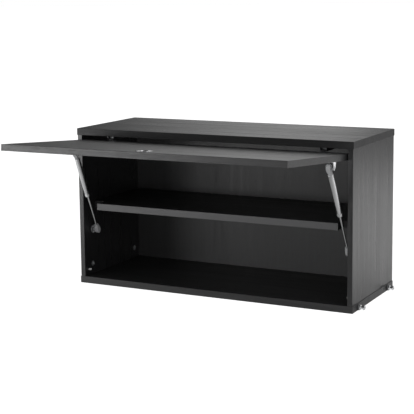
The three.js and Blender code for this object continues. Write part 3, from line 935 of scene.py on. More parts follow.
@dataclass
class ScrewTree:
    """Geometry Nodes tree that sets a cross-recessed screw head on every point.

    Each point carries the way that its head faces, and its head radius, which is the
    unit of the sizes here.
    """

    dome: float = 0.42
    crown: float = 0.78
    recess: float = 0.55
    slot_width: float = 0.20
    facets: int = 32
    seed: int = 7
    tree: bpy.types.GeometryNodeTree = field(init=False)

    def __post_init__(self) -> None:
        """Builds the tree."""
        self.tree = bpy.data.node_groups.new("screw_heads", "GeometryNodeTree")
        self._socket("Points", "Geometry")
        sizes = {"Dome Height": self.dome, "Recess Reach": self.recess, "Slot Width": self.slot_width}
        for name, size in sizes.items():
            self._socket(name, "Float").default_value = size
        self._socket("Finish", "Material")
        self._socket("Heads", "Geometry", "OUTPUT")
        given = self.tree.nodes.new("NodeGroupInput").outputs
        heads = self._set_on_points(given, self._head(given))
        real = self._node("GeometryNodeRealizeInstances", {}, {0: heads})
        painted = self._node("GeometryNodeSetMaterial", {}, {"Geometry": real, "Material": given["Finish"]})
        self.tree.links.new(painted, self.tree.nodes.new("NodeGroupOutput").inputs["Heads"])

    def _socket(self, name: str, kind: str, way: str = "INPUT") -> bpy.types.NodeTreeInterfaceSocket:
        """Adds a socket to the tree's interface."""
        return self.tree.interface.new_socket(name, in_out=way, socket_type=f"NodeSocket{kind}")

    def _node(
        self, kind: str, settings: dict[str, object], inputs: dict[int | str, object], output: int = 0
    ) -> bpy.types.NodeSocket:
        """Adds a node and returns one of its outputs."""
        return add_node(self.tree, kind, settings, inputs).outputs[output]

    def _head(self, given: bpy.types.NodeOutputs) -> bpy.types.NodeSocket:
        """A head of radius 1 with its cross recess.

        Args:
            given: The tree's inputs.

        Returns:
            The head's geometry.
        """
        height, width = given["Dome Height"], given["Slot Width"]
        sizes = {"Vertices": self.facets, "Side Segments": 1, "Radius Top": self.crown, "Radius Bottom": 1.0}
        head = self._node("GeometryNodeMeshCone", {"fill_type": "NGON"}, {**sizes, "Depth": height})
        long = self._node("ShaderNodeMath", {"operation": "MULTIPLY"}, {0: given["Recess Reach"], 1: 2.0})
        lift = self._node("ShaderNodeCombineXYZ", {}, {2: height})
        settings = {"operation": "DIFFERENCE", "solver": "EXACT"}
        cut = add_node(self.tree, "GeometryNodeMeshBoolean", settings, {"Mesh 1": head})
        for sides in ((long, width, height), (width, long, height)):
            size = self._node("ShaderNodeCombineXYZ", {}, dict(enumerate(sides)))
            cube = self._node("GeometryNodeMeshCube", {}, {"Size": size})
            arm = self._node("GeometryNodeTransform", {}, {"Geometry": cube, "Translation": lift})
            self.tree.links.new(arm, cut.inputs["Mesh 2"])
        return cut.outputs[0]

    def _set_on_points(
        self, given: bpy.types.NodeOutputs, head: bpy.types.NodeSocket
    ) -> bpy.types.NodeSocket:
        """Sets a head on each point, at its own turn about its axis.

        Args:
            given: The tree's inputs.
            head: The geometry of one head.

        Returns:
            The geometry of all heads.
        """
        facing, radius = (
            self._node("GeometryNodeInputNamedAttribute", {"data_type": kind}, {"Name": name})
            for name, kind in (("facing", "FLOAT_VECTOR"), ("radius", "FLOAT"))
        )
        aligned = self._node("FunctionNodeAlignRotationToVector", {"axis": "Z"}, {"Vector": facing})
        turns = {2: 0.0, 3: math.pi / 2, "Seed": self.seed}
        spin = self._node("FunctionNodeRandomValue", {"data_type": "FLOAT"}, turns, 1)
        twist = self._node("FunctionNodeAxisAngleToRotation", {}, {"Axis": (0.0, 0.0, 1.0), "Angle": spin})
        settings = {"rotation_space": "LOCAL"}
        turned = self._node("FunctionNodeRotateRotation", settings, {0: aligned, 1: twist})
        inputs = {"Points": given["Points"], "Instance": head, "Rotation": turned, "Scale": radius}
        return self._node("GeometryNodeInstanceOnPoints", {}, inputs)


@dataclass
class ScrewBox:
    """Screws collected while the pieces are made, and set at the end, one mesh for each body."""

    places: dict[tuple[str, Finish], list[tuple[Vector, Vector, float]]] = field(default_factory=dict)

    def add(self, body: str, finish: Finish, spot: Vector, facing: Vector, radius: float) -> None:
        """Notes one screw.

        Args:
            body: The body that it rides on.
            finish: Its finish.
            spot: The middle of its head's underside.
            facing: The way that its head faces.
            radius: The head's radius.
        """
        self.places.setdefault((body, finish), []).append((spot, facing.normalized(), radius))

    def build(self) -> None:
        """Runs the tree over the collected points and leaves plain meshes."""
        tree = ScrewTree().tree
        finish_socket = tree.interface.items_tree["Finish"].identifier
        for (body, finish), screws in self.places.items():
            data = bpy.data.meshes.new("points")
            data.from_pydata([spot for spot, _, _ in screws], [], [])
            facing = data.attributes.new("facing", "FLOAT_VECTOR", "POINT")
            facing.data.foreach_set("vector", [value for _, way, _ in screws for value in way])
            radius = data.attributes.new("radius", "FLOAT", "POINT")
            radius.data.foreach_set("value", [size for _, _, size in screws])
            points = linked("points", data)
            step = points.modifiers.new("heads", "NODES")
            step.node_group = tree
            step[finish_socket] = finish.material
            made = linked(f"screws_{body}_{finish.name.lower()}", evaluated(points))
            register(made, finish, body, sharp=30.0)


# ------------------------------------------------------------------ sub-assemblies


@dataclass(frozen=True)
class Side:
    """One of the two ends of the cabinet."""

    name: str
    sign: int


SIDES = (Side("left", -1), Side("right", 1))


@dataclass(frozen=True)
class FlapFrame:
    """The flap's own frame: hinge axis at the origin, Y from its outer to its inner face, Z up it."""

    place: Matrix
    outer: float = -6.5 * MM
    inner: float = 9.5 * MM
    upper: float = 16.5 * MM

    @classmethod
    def shown(cls) -> "FlapFrame":
        """The frame of the flap as the photograph shows it, open.

        Returns:
            The frame.
        """
        hinge = joint("flap_lift")
        turn = Matrix.Rotation(-math.radians(max(hinge["range_deg"])), 4, "X")
        return cls(Matrix.Translation(hinge["pos_m"]) @ turn)

    def at(self, x: float, y: float, z: float) -> Vector:
        """A point of the flap in the cabinet's frame."""
        return self.place @ Vector((x, y, z))

    @property
    def inward(self) -> Vector:
        """The way from its outer to its inner face, in the cabinet's frame."""
        return self.place.to_3x3() @ Y_WAY


@dataclass(frozen=True)
class Leaf:
    """How one board is veneered and lacquered."""

    grain: Grain
    gloss: float = 0.20
    extras: dict[str, float] = field(default_factory=dict)


@dataclass
class Boards:
    """The boards of the carcass and the flap, in stained veneer."""

    leaves: dict[str, Leaf] = field(
        default_factory=lambda: {
            "top_panel": Leaf(Grain.ACROSS, extras={"matter_edges": 0.24}),
            "bottom_panel": Leaf(Grain.ACROSS, 0.32),
            "shelf": Leaf(Grain.ACROSS, 0.34, {"paler_front": 1.0}),
            "flap_panel": Leaf(Grain.ACROSS, 0.23, {"haze": 0.9}),
            "side_panel_left": Leaf(Grain.UPRIGHT),
            "side_panel_right": Leaf(Grain.UPRIGHT),
            "back_panel": Leaf(Grain.UPRIGHT, 0.38),
        }
    )
    front_strip: float = 0.6 * MM
    flap_lean: float = 1.4 * MM
    end_strip: float = 0.1 * MM

    def build(self) -> None:
        """Dresses each board in a leaf of its own."""
        for number, (node, leaf) in enumerate(self.leaves.items(), start=1):
            board = frame["nodes"][node]
            extent = Extent.of(node)
            lean = self.flap_lean if node == "flap_panel" else 0.0
            front, end = extent.low.y + self.front_strip + lean, extent.high.x - self.end_strip
            veneer = StainedVeneer(
                f"veneer_{node}", "stained_wood", leaf.grain, number, leaf.gloss, front, end, **leaf.extras
            )
            board.data.materials.clear()
            board.data.materials.append(veneer.material)
            log.info("board %s, grain %s", node, leaf.grain.name.lower())


@dataclass
class CamHousings:
    """Cam housings flush in the inner faces of the side panels."""

    slot_width: float = 1.6 * MM
    slot_reach: float = 9.5 * MM
    slot_depth: float = 2.2 * MM
    rim: float = 0.4 * MM
    dish: float = 0.5 * MM
    dish_floor: float = 0.72
    dish_mouth: float = 0.80

    def build(self) -> None:
        """Builds the eight housings."""
        for side in SIDES:
            for level in ("lower", "upper"):
                for end in ENDS:
                    self._housing(f"cam_{level}_{side.name}_{end}", side)

    def _housing(self, node: str, side: Side) -> None:
        """A disc with a rounded rim, a dished face and a crossed slot.

        Args:
            node: The solid that it stands for.
            side: The end of the cabinet.
        """
        extent = Extent.of(node)
        radius, depth = extent.radius, extent.size.x
        face = extent.ends[0]
        body = Shape.turned(
            [
                (0.0, self.dish),
                (radius * self.dish_floor, self.dish),
                (radius * self.dish_mouth, 0.0),
                (radius - self.rim, 0.0),
                (radius, self.rim),
                (radius, depth),
                (0.0, depth),
            ],
            extent.outward(face),
        )
        slots = []
        for y, z in ((self.slot_reach, self.slot_width), (self.slot_width, self.slot_reach)):
            low, high = (
                Vector((x, extent.middle.y + half * y, extent.middle.z + half * z))
                for x, half in ((face - self.rim, -0.5), (face + self.slot_depth, 0.5))
            )
            slots.append(Shape.box(low, high))
        body.carved(*slots).mirrored(side.sign).piece(node, "housing", Finish.ZINC)


@dataclass
class HangingPegs:
    """Grooved pegs and their washers on the ends of the bottom board."""

    flange: float = 3.0 * MM
    groove: float = 5.5 * MM
    groove_radius: float = 3.4 * MM
    washer: float = 3.0 * MM
    seat: float = 0.3 * MM
    shank: float = 2.2 * MM
    soft: float = 0.7 * MM
    hex_reach: float = 2.3 * MM
    hex_depth: float = 3.0 * MM

    def build(self) -> None:
        """Builds the four pegs and the four washers."""
        for side in SIDES:
            for end in ENDS:
                self._peg(f"hanging_peg_{side.name}_{end}", side)
                self._washer(f"peg_washer_{side.name}_{end}", side)

    def _peg(self, node: str, side: Side) -> None:
        """A turned peg with rounded flanges, a wire groove and a hexagon socket.

        Args:
            node: The solid that it stands for.
            side: The end of the cabinet.
        """
        extent = Extent.of(node)
        board = Extent.of("bottom_panel").high.x
        radius, soft = extent.radius, self.soft
        start, tip = (end - board for end in extent.ends)
        seat = self.washer + 2.0 * self.seat
        inner = seat + self.flange
        outer = inner + self.groove
        bottom = self.groove_radius + soft
        chamfer = 0.5 * soft
        body = Shape.turned(
            [
                (0.0, start),
                (self.shank, start),
                (self.shank, seat),
                (radius - chamfer, seat),
                (radius, seat + chamfer),
                *high_edge(radius, inner, soft, 4),
                *arc(bottom, inner + soft, soft, 270.0, 180.0, 4),
                *arc(bottom, outer - soft, soft, 180.0, 90.0, 4),
                *low_edge(radius, outer, soft, 4),
                *high_edge(radius, tip, soft, 4),
                (0.0, tip),
            ],
            extent.outward(board),
        )
        hexagon = arc(0.0, 0.0, self.hex_reach, 0.0, 300.0, 5)
        floor = extent.outward(board + tip - self.hex_depth)
        socket = Shape.plate(hexagon, 2.0 * self.hex_depth, floor)
        body.carved(socket).mirrored(side.sign).piece(node, "turned", Finish.BRIGHT)

    def _washer(self, node: str, side: Side) -> None:
        """A dark washer with rounded edges.

        Args:
            node: The solid that it stands for.
            side: The end of the cabinet.
        """
        extent = Extent.of(node)
        hole = self.shank + self.seat
        profile = [
            (hole, 0.0),
            *low_edge(extent.radius, 0.0, self.soft, 3),
            *high_edge(extent.radius, self.washer, self.soft, 3),
            (hole, self.washer),
        ]
        body = Shape.turned(profile, extent.outward(extent.ends[0]))
        body.mirrored(side.sign).piece(node, "ring", Finish.DARK)


@dataclass
class FlapStops:
    """Domed stops in the side panels that the closed flap rests on."""

    shank: float = 2.0 * MM
    shank_length: float = 8.0 * MM
    collar: float = 1.0 * MM
    neck: float = 0.86
    dome: float = 0.35
    steps: int = 6

    def build(self) -> None:
        """Builds both stops."""
        for side in SIDES:
            node = f"flap_stop_{side.name}"
            extent = Extent.of(node)
            radius = extent.radius
            neck, dome = radius * self.neck, radius * self.dome
            length = extent.size.x - self.shank_length
            end = length + self.shank_length
            angles = (math.pi / 2.0 * step / self.steps for step in range(self.steps + 1))
            profile = [
                *((neck * math.sin(angle), dome * (1.0 - math.cos(angle))) for angle in angles),
                (neck, length - self.collar),
                (radius, length - self.collar),
                (radius, length),
                (self.shank, length),
                (self.shank, end),
                (0.0, end),
            ]
            body = Shape.turned(profile, extent.outward(extent.ends[0]))
            body.mirrored(side.sign).piece(node, "bumper", Finish.STOP)


@dataclass
class FlushPull:
    """Round spun pull, recessed in the outer face of the flap."""

    flap: FlapFrame
    drop: float = 323.5 * MM
    steps: int = 20
    lip: float = 0.5 * MM
    wall: float = 0.8 * MM
    mouth: float = 18.0 * MM
    floor: float = 8.0 * MM
    depth: float = 10.0 * MM
    flange: float = 1.0 * MM
    seat: float = 0.3 * MM

    def build(self) -> None:
        """Builds the dish."""
        node = "flush_pull"
        radius = Extent.of(node).size.x / 2.0
        face = self.seat + self.flange
        bottom = self.wall - self.depth
        outer = self.mouth + self.wall
        turns = (math.pi / 2.0 * (1.0 - step / self.steps) for step in range(self.steps + 1))
        dish = [
            (
                self.floor + (self.mouth - self.floor) * math.sin(turn),
                face - (face - bottom) * math.cos(turn),
            )
            for turn in turns
        ]
        profile = [
            (0.0, -self.depth),
            (outer - self.lip, -self.depth),
            (outer, self.lip - self.depth),
            (outer, self.seat),
            (radius, self.seat),
            *high_edge(radius, face, self.lip, 4),
            *dish,
            (0.0, bottom),
        ]
        centre = self.flap.at(0.0, self.flap.outer, -self.drop)
        finish = SpunMetal("spun_pull", "pull_metal", (0.80, 0.805, 0.81), 0.22, centre)
        body = Shape.turned(profile, place_at(centre, -self.flap.inward), 96)
        body.piece(node, "dish", finish, FLAP, sharp=40.0)


@dataclass
class CupHinge:
    """A cup hinge: pressed cup in the flap, bent arm, and plate under the top board."""

    screws: ScrewBox
    flap: FlapFrame
    seat: float = 0.3 * MM
    cup_drop: float = 22.5 * MM
    cup_radius: float = 17.2 * MM
    cup_wall: float = 1.2 * MM
    cup_depth: float = 12.8 * MM
    cup_floor: float = 0.7 * MM
    cup_facets: int = 64
    rim: float = 19.6 * MM
    flange_width: float = 52.0 * MM
    flange_depth: float = 15.0 * MM
    flange: float = 1.0 * MM
    flange_screw: float = 3.4 * MM
    pin_hole: float = 1.3 * MM
    eye: float = 2.2 * MM
    neck_width: float = 12.0 * MM
    neck: float = 2.0 * MM
    bow_reach: float = 7.425 * MM
    bow_dip: float = 13.944 * MM
    dip_reach: float = 12.375 * MM
    neck_dip: float = 16.8 * MM
    neck_reach: float = 21.7 * MM
    bend: float = 3.0 * MM
    arm_width: float = 19.0 * MM
    arm_wall: float = 1.3 * MM
    arm_height: float = 8.5 * MM
    arm_screw: float = 3.6 * MM
    arm_screw_places: tuple[float, float] = (0.36, 0.80)
    wing: float = 2.0 * MM
    wing_depth: float = 14.0 * MM
    wing_start: float = 6.0 * MM
    wing_screw: float = 4.0 * MM
    edge: float = 0.3 * MM
    soft: float = 0.5 * MM

    def build(self) -> None:
        """Builds both hinges."""
        for side in SIDES:
            self._cup(f"hinge_cup_{side.name}")
            self._arm(f"hinge_arm_{side.name}")
            self._plate(f"hinge_plate_{side.name}", f"hinge_arm_{side.name}")

    def _cup(self, node: str) -> None:
        """The cup with its rounded rim, its flange and two screws.

        Args:
            node: The solid that it stands for.
        """
        x = Extent.of(node).middle.x
        height = self.flap.upper - self.cup_drop
        base = self.flap.inner + self.seat
        floor = self.flap.inner - self.cup_depth
        bore = self.cup_radius - self.cup_wall
        face = base + self.flange
        place = place_at(self.flap.at(x, 0.0, height), self.flap.inward)
        shell = Shape.turned(
            [
                (0.0, floor),
                *low_edge(self.cup_radius, floor, self.soft, 3),
                (self.cup_radius, base),
                (self.rim, base),
                *high_edge(self.rim, face, self.soft, 3),
                *arc(bore + self.soft, face - self.soft, self.soft, 90.0, 180.0, 3),
                (bore, floor + self.cup_floor),
                (0.0, floor + self.cup_floor),
            ],
            place,
            self.cup_facets,
        )
        lift = Matrix.Translation((0.0, 0.0, base))
        outline = stadium(self.flange_width, self.flange_depth, 12)
        flange = Shape.plate(outline, self.flange, place @ lift, self.edge)
        low, high = base - self.flange, face + self.flange
        middle = Shape.rod(bore + self.soft, low, high, place, self.cup_facets)
        pin = Shape.rod(self.pin_hole, -self.rim, self.rim, outward(*self.flap.at(x, 0.0, 0.0)))
        cup = shell.joined(flange.carved(middle)).carved(pin)
        cup.piece(node, "pressed", Finish.BRIGHT, FLAP)
        reach = (self.flange_width - self.flange_depth) / 2.0
        for way in (-reach, reach):
            spot = self.flap.at(x + way, face, height)
            self.screws.add(FLAP, Finish.BRIGHT, spot, self.flap.inward, self.flange_screw)

    def _arm(self, node: str) -> None:
        """The neck round the flap's edge, its eye on the pin, and the channel on the plate.

        Args:
            node: The solid that it stands for.
        """
        extent = Extent.of(node)
        x = extent.middle.x
        _, pin_y, pin_z = self.flap.place.translation
        bottom = extent.high.z - self.arm_height
        climb = pin_y + self.neck_reach
        dip = pin_z - self.neck_dip
        line = [
            (pin_y, pin_z),
            (pin_y + self.bow_reach, pin_z - self.bow_dip),
            (pin_y + self.dip_reach, dip),
            (climb, dip),
            (climb, bottom + self.neck),
        ]
        left = x - self.neck_width / 2.0
        neck = Shape.plate(bent_strip(line, self.neck, self.bend), self.neck_width, sideways(left))
        at_pin = outward(left, pin_y, pin_z)
        barrel = Shape.rod(self.eye, 0.0, self.neck_width, at_pin, 32)
        hole = Shape.rod(self.pin_hole, -MM, self.neck_width + MM, at_pin)
        start = climb - self.neck / 2.0
        length = extent.high.y - start
        half, top = self.arm_width / 2.0, self.arm_height
        inside = half - self.arm_wall
        section = [
            (half, 0.0), (-half, 0.0), (-half, top), (-inside, top),
            (-inside, self.neck), (inside, self.neck), (inside, top), (half, top),
        ]
        along = place_at((x, start, bottom), Y_WAY, -X_WAY)
        channel = Shape.plate(section, length, along, self.edge)
        channel.joined(neck, barrel).carved(hole).piece(node, "bent", Finish.HINGE)
        for share in self.arm_screw_places:
            spot = Vector((x, start + share * length, bottom))
            self.screws.add(CARCASS, Finish.ZINC, spot, -Z_WAY, self.arm_screw)

    def _plate(self, node: str, arm: str) -> None:
        """The plate with its rib in the arm's channel and two screwed wings.

        Args:
            node: The solid that it stands for.
            arm: The arm's solid.
        """
        extent = Extent.of(node)
        x, top = extent.middle.x, extent.high.z
        half = self.arm_width / 2.0 - self.arm_wall - self.seat
        under = top - self.wing
        wing_y = extent.low.y + self.wing_depth / 2.0 + self.wing_start
        outline = stadium(extent.size.x, self.wing_depth, 10)
        wings = Shape.plate(outline, self.wing, Matrix.Translation((x, wing_y, under)), self.edge)
        low = Extent.of(arm).high.z - self.arm_height + self.neck + self.seat
        near, far = Vector((x - half, extent.low.y, low)), Vector((x + half, extent.high.y, top))
        Shape.box(near, far, self.edge).joined(wings).piece(node, "cast", Finish.ZINC)
        reach = (extent.size.x - self.wing_depth) / 2.0
        for way in (-reach, reach):
            spot = Vector((x + way, wing_y, under))
            self.screws.add(CARCASS, Finish.ZINC, spot, -Z_WAY, self.wing_screw)


@dataclass
class GasStrut:
    """A gas spring between a ball at the side panel and a ball on the flap's bracket."""

    screws: ScrewBox
    flap: FlapFrame
    seat: float = 0.3 * MM
    tube_radius: float = 7.0 * MM
    tube_wall: float = 1.0 * MM
    tube_length: float = 121.5 * MM
    tube_end: float = 3.0 * MM
    rolled: float = 1.4 * MM
    crimp: float = 9.0 * MM
    crimp_half: float = 0.7 * MM
    crimp_depth: float = 0.35 * MM
    rod_radius: float = 2.5 * MM
    piston_radius: float = 5.5 * MM
    piston: float = 8.0 * MM
    piston_inset: float = 24.0 * MM
    stud: float = 3.0 * MM
    thread: float = 6.5 * MM
    reach: float = 16.0 * MM
    ball: float = 4.0 * MM
    ball_neck: float = 2.0 * MM
    head: float = 6.8 * MM
    head_width: float = 11.0 * MM
    tail: float = 10.5 * MM
    collar: float = 5.8 * MM
    collar_start: float = 6.0 * MM
    collar_rings: tuple[Point, ...] = ((0.0, 2.4), (0.5, 2.0), (0.5, 1.4), (0.0, 1.0), (0.4, 0.0))
    bevel: float = 1.5 * MM
    mouth: float = 3.3 * MM
    clip: float = 0.55 * MM
    clip_gap: float = 0.1 * MM
    clip_inset: float = 2.2 * MM
    disc: float = 2.5 * MM
    disc_screw_place: float = 7.5 * MM
    disc_screw: float = 2.6 * MM
    flange: float = 4.5 * MM
    flange_length: float = 4.6 * MM
    rivet: float = 3.5 * MM
    rivet_inset: float = 1.2 * MM
    web: float = 1.5 * MM
    web_root: float = 18.0 * MM
    web_tip: float = 4.0 * MM
    web_offset: float = 12.5 * MM
    foot_length: float = 36.0 * MM
    foot_width: float = 22.0 * MM
    foot_corner: float = 2.5 * MM
    foot_screw: float = 3.6 * MM
    edge: float = 0.3 * MM
    upper: Vector = field(init=False)
    lower: Vector = field(init=False)
    length: float = field(init=False)
    line: Matrix = field(init=False)

    def __post_init__(self) -> None:
        """Finds the balls of the right strut; the left one is its mirror image."""
        self.upper = Vector(joint("strut_swivel_right")["pos_m"])
        along = Vector(joint("strut_rod_slide_right")["axis"]).normalized()
        level = Extent.of("strut_anchor_ball_right").middle
        self.length = (self.upper.y - level.y) / along.y
        self.lower = self.upper - along * self.length
        self.line = place_at(self.lower, along)

    @property
    def tube_ends(self) -> Point:
        """Where the tube starts and ends on the line from the lower ball."""
        top = self.length - self.reach
        return top - self.tube_length, top

    def build(self) -> None:
        """Builds both struts."""
        turn_over = Matrix.Translation((0.0, 0.0, self.length)) @ Matrix.Rotation(math.pi, 4, "X")
        for side in SIDES:
            rod, tube = f"strut_rod_{side.name}", f"strut_tube_{side.name}"
            self._tube(side, tube)
            self._rod(side, rod)
            upper, lower = (f"strut_{end}_fitting_{side.name}" for end in ("upper", "lower"))
            self._fitting(side, upper, tube, self.line @ turn_over, self.stud)
            self._fitting(side, lower, rod, self.line, self.rod_radius)
            self._disc(side, f"strut_anchor_disc_{side.name}")
            self._anchor_ball(side, f"strut_anchor_ball_{side.name}", rod)
            self._bracket(side, f"strut_bracket_{side.name}")

    def _tube(self, side: Side, body: str) -> None:
        """The tube, hollow as the real one, its ends rolled in.

        Args:
            side: The end of the cabinet.
            body: The body that it rides on, which has the solid's name.
        """
        radius = self.tube_radius
        inside, shoulder = radius - self.tube_wall, radius - self.rolled
        hole = self.rod_radius + self.seat
        low, high = self.tube_ends
        crimp = low + self.crimp
        profile = [
            (0.0, high - self.tube_end),
            (inside, high - self.tube_end),
            (inside, low + self.tube_end),
            (hole, low + self.tube_end),
            (hole, low),
            (shoulder, low),
            *arc(shoulder, low + self.rolled, self.rolled, -60.0, 0.0, 4),
            (radius, crimp - self.crimp_half),
            (radius - self.crimp_depth, crimp),
            (radius, crimp + self.crimp_half),
            *arc(shoulder, high - self.rolled, self.rolled, 0.0, 60.0, 4),
            (shoulder, high),
            (self.stud, high),
            (self.stud, high + self.thread),
            (0.0, high + self.thread),
        ]
        tube = Shape.turned(profile, self.line, 64)
        tube.mirrored(side.sign).piece(body, "rolled", Finish.TUBE, body)

    def _rod(self, side: Side, body: str) -> None:
        """The polished rod with its piston in the tube.

        Args:
            side: The end of the cabinet.
            body: The body that it rides on, which has the solid's name.
        """
        start = self.reach - self.thread
        piston = self.tube_ends[0] + self.piston_inset
        profile = [
            (0.0, start),
            (self.rod_radius, start),
            (self.rod_radius, piston),
            (self.piston_radius, piston),
            (self.piston_radius, piston + self.piston),
            (0.0, piston + self.piston),
        ]
        rod = Shape.turned(profile, self.line, 40)
        rod.mirrored(side.sign).piece(body, "ground", Finish.ROD, body)

    def _fitting(self, side: Side, node: str, body: str, place: Matrix, thread: float) -> None:
        """A ball socket with a flattened round head, a collar and a spring clip.

        Args:
            side: The end of the cabinet.
            node: The solid that it stands for.
            body: The body that it rides on.
            place: The ball's centre, with Z towards the strut.
            thread: Radius of the thread that it is screwed on.
        """
        half = self.head_width / 2.0
        middle = self.head - self.tail
        outline = [
            *arc(0.0, middle, self.head, 180.0, 360.0, 16),
            (self.head, self.head - self.ball),
            (self.collar, self.collar_start + self.ball),
            (-self.collar, self.collar_start + self.ball),
            (-self.head, self.head - self.ball),
        ]
        block = Shape.plate(outline, self.head_width, place @ sideways(-half), self.bevel)
        end = self.reach - self.seat
        neck = Shape.turned(
            [
                (0.0, self.collar_start),
                (self.collar, self.collar_start),
                *((self.collar - inset * MM, end - back * MM) for inset, back in self.collar_rings),
                (0.0, end),
            ],
            place,
            40,
        )
        room = self.ball + self.seat
        angles = (math.radians(10.0 * step) for step in range(1, 18))
        sphere = [(room * math.sin(angle), -room * math.cos(angle)) for angle in angles]
        socket = Shape.turned([(0.0, -room), *sphere, (0.0, room)], place, 32)
        mouth = Shape.rod(self.mouth, 0.0, half + MM, place @ outward(0.0, 0.0, 0.0), 32)
        low = self.reach - self.thread - 2.0 * self.seat
        bore = Shape.rod(thread + self.seat, low, self.reach + MM, place)
        made = block.joined(neck).carved(socket, mouth, bore).mirrored(side.sign)
        made.piece(node, "moulded", Finish.GREY, body, sharp=40.0)
        ring = arc(0.0, middle, self.head + self.clip_gap, 165.0, 375.0, 20)
        loop = [place @ Vector((self.clip_inset - half, v, w)) for v, w in ring]
        clip = Shape.wire(loop, self.clip).mirrored(side.sign)
        clip.piece(node, "clip", Finish.BRIGHT, body, extra=True)

    def _disc(self, side: Side, node: str) -> None:
        """The screwed wall disc that carries the lower ball.

        Args:
            side: The end of the cabinet.
            node: The solid that it stands for.
        """
        extent = Extent.of("strut_anchor_disc_right")
        face, back = extent.low.x, extent.low.x + self.disc
        rim = low_edge(extent.radius, face, 0.25 * self.disc, 4)
        profile = [(0.0, face), *rim, (extent.radius, back), (0.0, back)]
        disc = Shape.turned(profile, outward(0.0, self.lower.y, self.lower.z), 64)
        disc.mirrored(side.sign).piece(node, "turned", Finish.DARK)
        for way in (-self.disc_screw_place, self.disc_screw_place):
            spot = Vector((side.sign * face, self.lower.y, self.lower.z + way))
            self.screws.add(CARCASS, Finish.ZINC, spot, -side.sign * X_WAY, self.disc_screw)

    def _ball(self, start: float, radius: float, end: float, place: Matrix) -> Shape:
        """A ball on a neck that ends in a flange.

        Args:
            start: Where the flange starts, from the ball's centre.
            radius: Of the flange.
            end: Where the flange ends.
            place: The ball's centre, with Z towards the flange.

        Returns:
            The shape.
        """
        lean = math.degrees(math.asin(self.ball_neck / self.ball))
        profile = [
            (0.0, -self.ball),
            *[(r, h) for h, r in arc(0.0, 0.0, self.ball, 180.0, lean, 16)][1:],
            (self.ball_neck, start),
            (radius, start),
            (radius, end),
            (0.0, end),
        ]
        return Shape.turned(profile, place, 40)

    def _anchor_ball(self, side: Side, node: str, body: str) -> None:
        """The lower ball on its flanged stud.

        Args:
            side: The end of the cabinet.
            node: The solid that it stands for.
            body: The body that it rides on.
        """
        end = Extent.of("strut_anchor_disc_right").low.x - self.seat - self.lower.x
        ball = self._ball(end - self.flange_length, self.flange, end, outward(*self.lower))
        ball.mirrored(side.sign).piece(node, "turned", Finish.ZINC, body)

    def _bracket(self, side: Side, node: str) -> None:
        """The bracket on the flap: foot, wedge-shaped web and riveted ball.

        Args:
            side: The end of the cabinet.
            node: The solid that it stands for.
        """
        spot = self.flap.place.inverted() @ self.upper
        base = self.flap.inner + self.seat
        web_x = spot.x + self.web_offset
        outer = web_x + self.web
        half = self.web_root / 2.0
        tip = arc(spot.y, spot.z, self.web_tip, -75.0, 75.0, 14)
        wedge = [(base, spot.z - half), *tip, (base, spot.z + half)]
        web = Shape.plate(wedge, self.web, self.flap.place @ sideways(web_x), self.edge)
        low, high = spot.z - self.foot_length / 2.0, spot.z + self.foot_length / 2.0
        soft = self.foot_corner
        left = outer - self.foot_width + soft
        corners = [
            *arc(left, -low - soft, soft, 90.0, 180.0, 5),
            *arc(left, soft - high, soft, 180.0, 270.0, 5),
            (outer, -high),
            (outer, -low),
        ]
        flat = self.flap.place @ place_at((0.0, base, 0.0), Y_WAY, X_WAY)
        foot = Shape.plate(corners, self.web, flat, self.edge)
        start, end = self.web_offset - self.rivet_inset, self.web_offset + self.web / 2.0
        ball = self._ball(start, self.rivet, end, self.flap.place @ outward(*spot))
        web.joined(foot, ball).mirrored(side.sign).piece(node, "pressed", Finish.BRIGHT, FLAP)
        screw_x = side.sign * (outer - self.foot_width / 2.0)
        for way in (-1.0, 1.0):
            at = self.flap.at(screw_x, base + self.web, spot.z + way * self.foot_length / 3.0)
            self.screws.add(FLAP, Finish.ZINC, at, self.flap.inward, self.foot_screw)


# ------------------------------------------------------------------ studio


@dataclass(frozen=True)
class Lamp:
    """A soft rectangular lamp."""

    name: str
    spot: Triple
    width: float
    height: float
    watts: float

    def build(self, aim: Vector) -> None:
        """Sets the lamp up so that it faces a point.

        Args:
            aim: The point.
        """
        data = bpy.data.lights.new(self.name, "AREA")
        data.shape = "RECTANGLE"
        data.size, data.size_y = self.width, self.height
        data.energy = self.watts
        lamp = linked(self.name, data)
        lamp.location = self.spot
        lamp.rotation_euler = (aim - Vector(self.spot)).to_track_quat("-Z", "Y").to_euler()


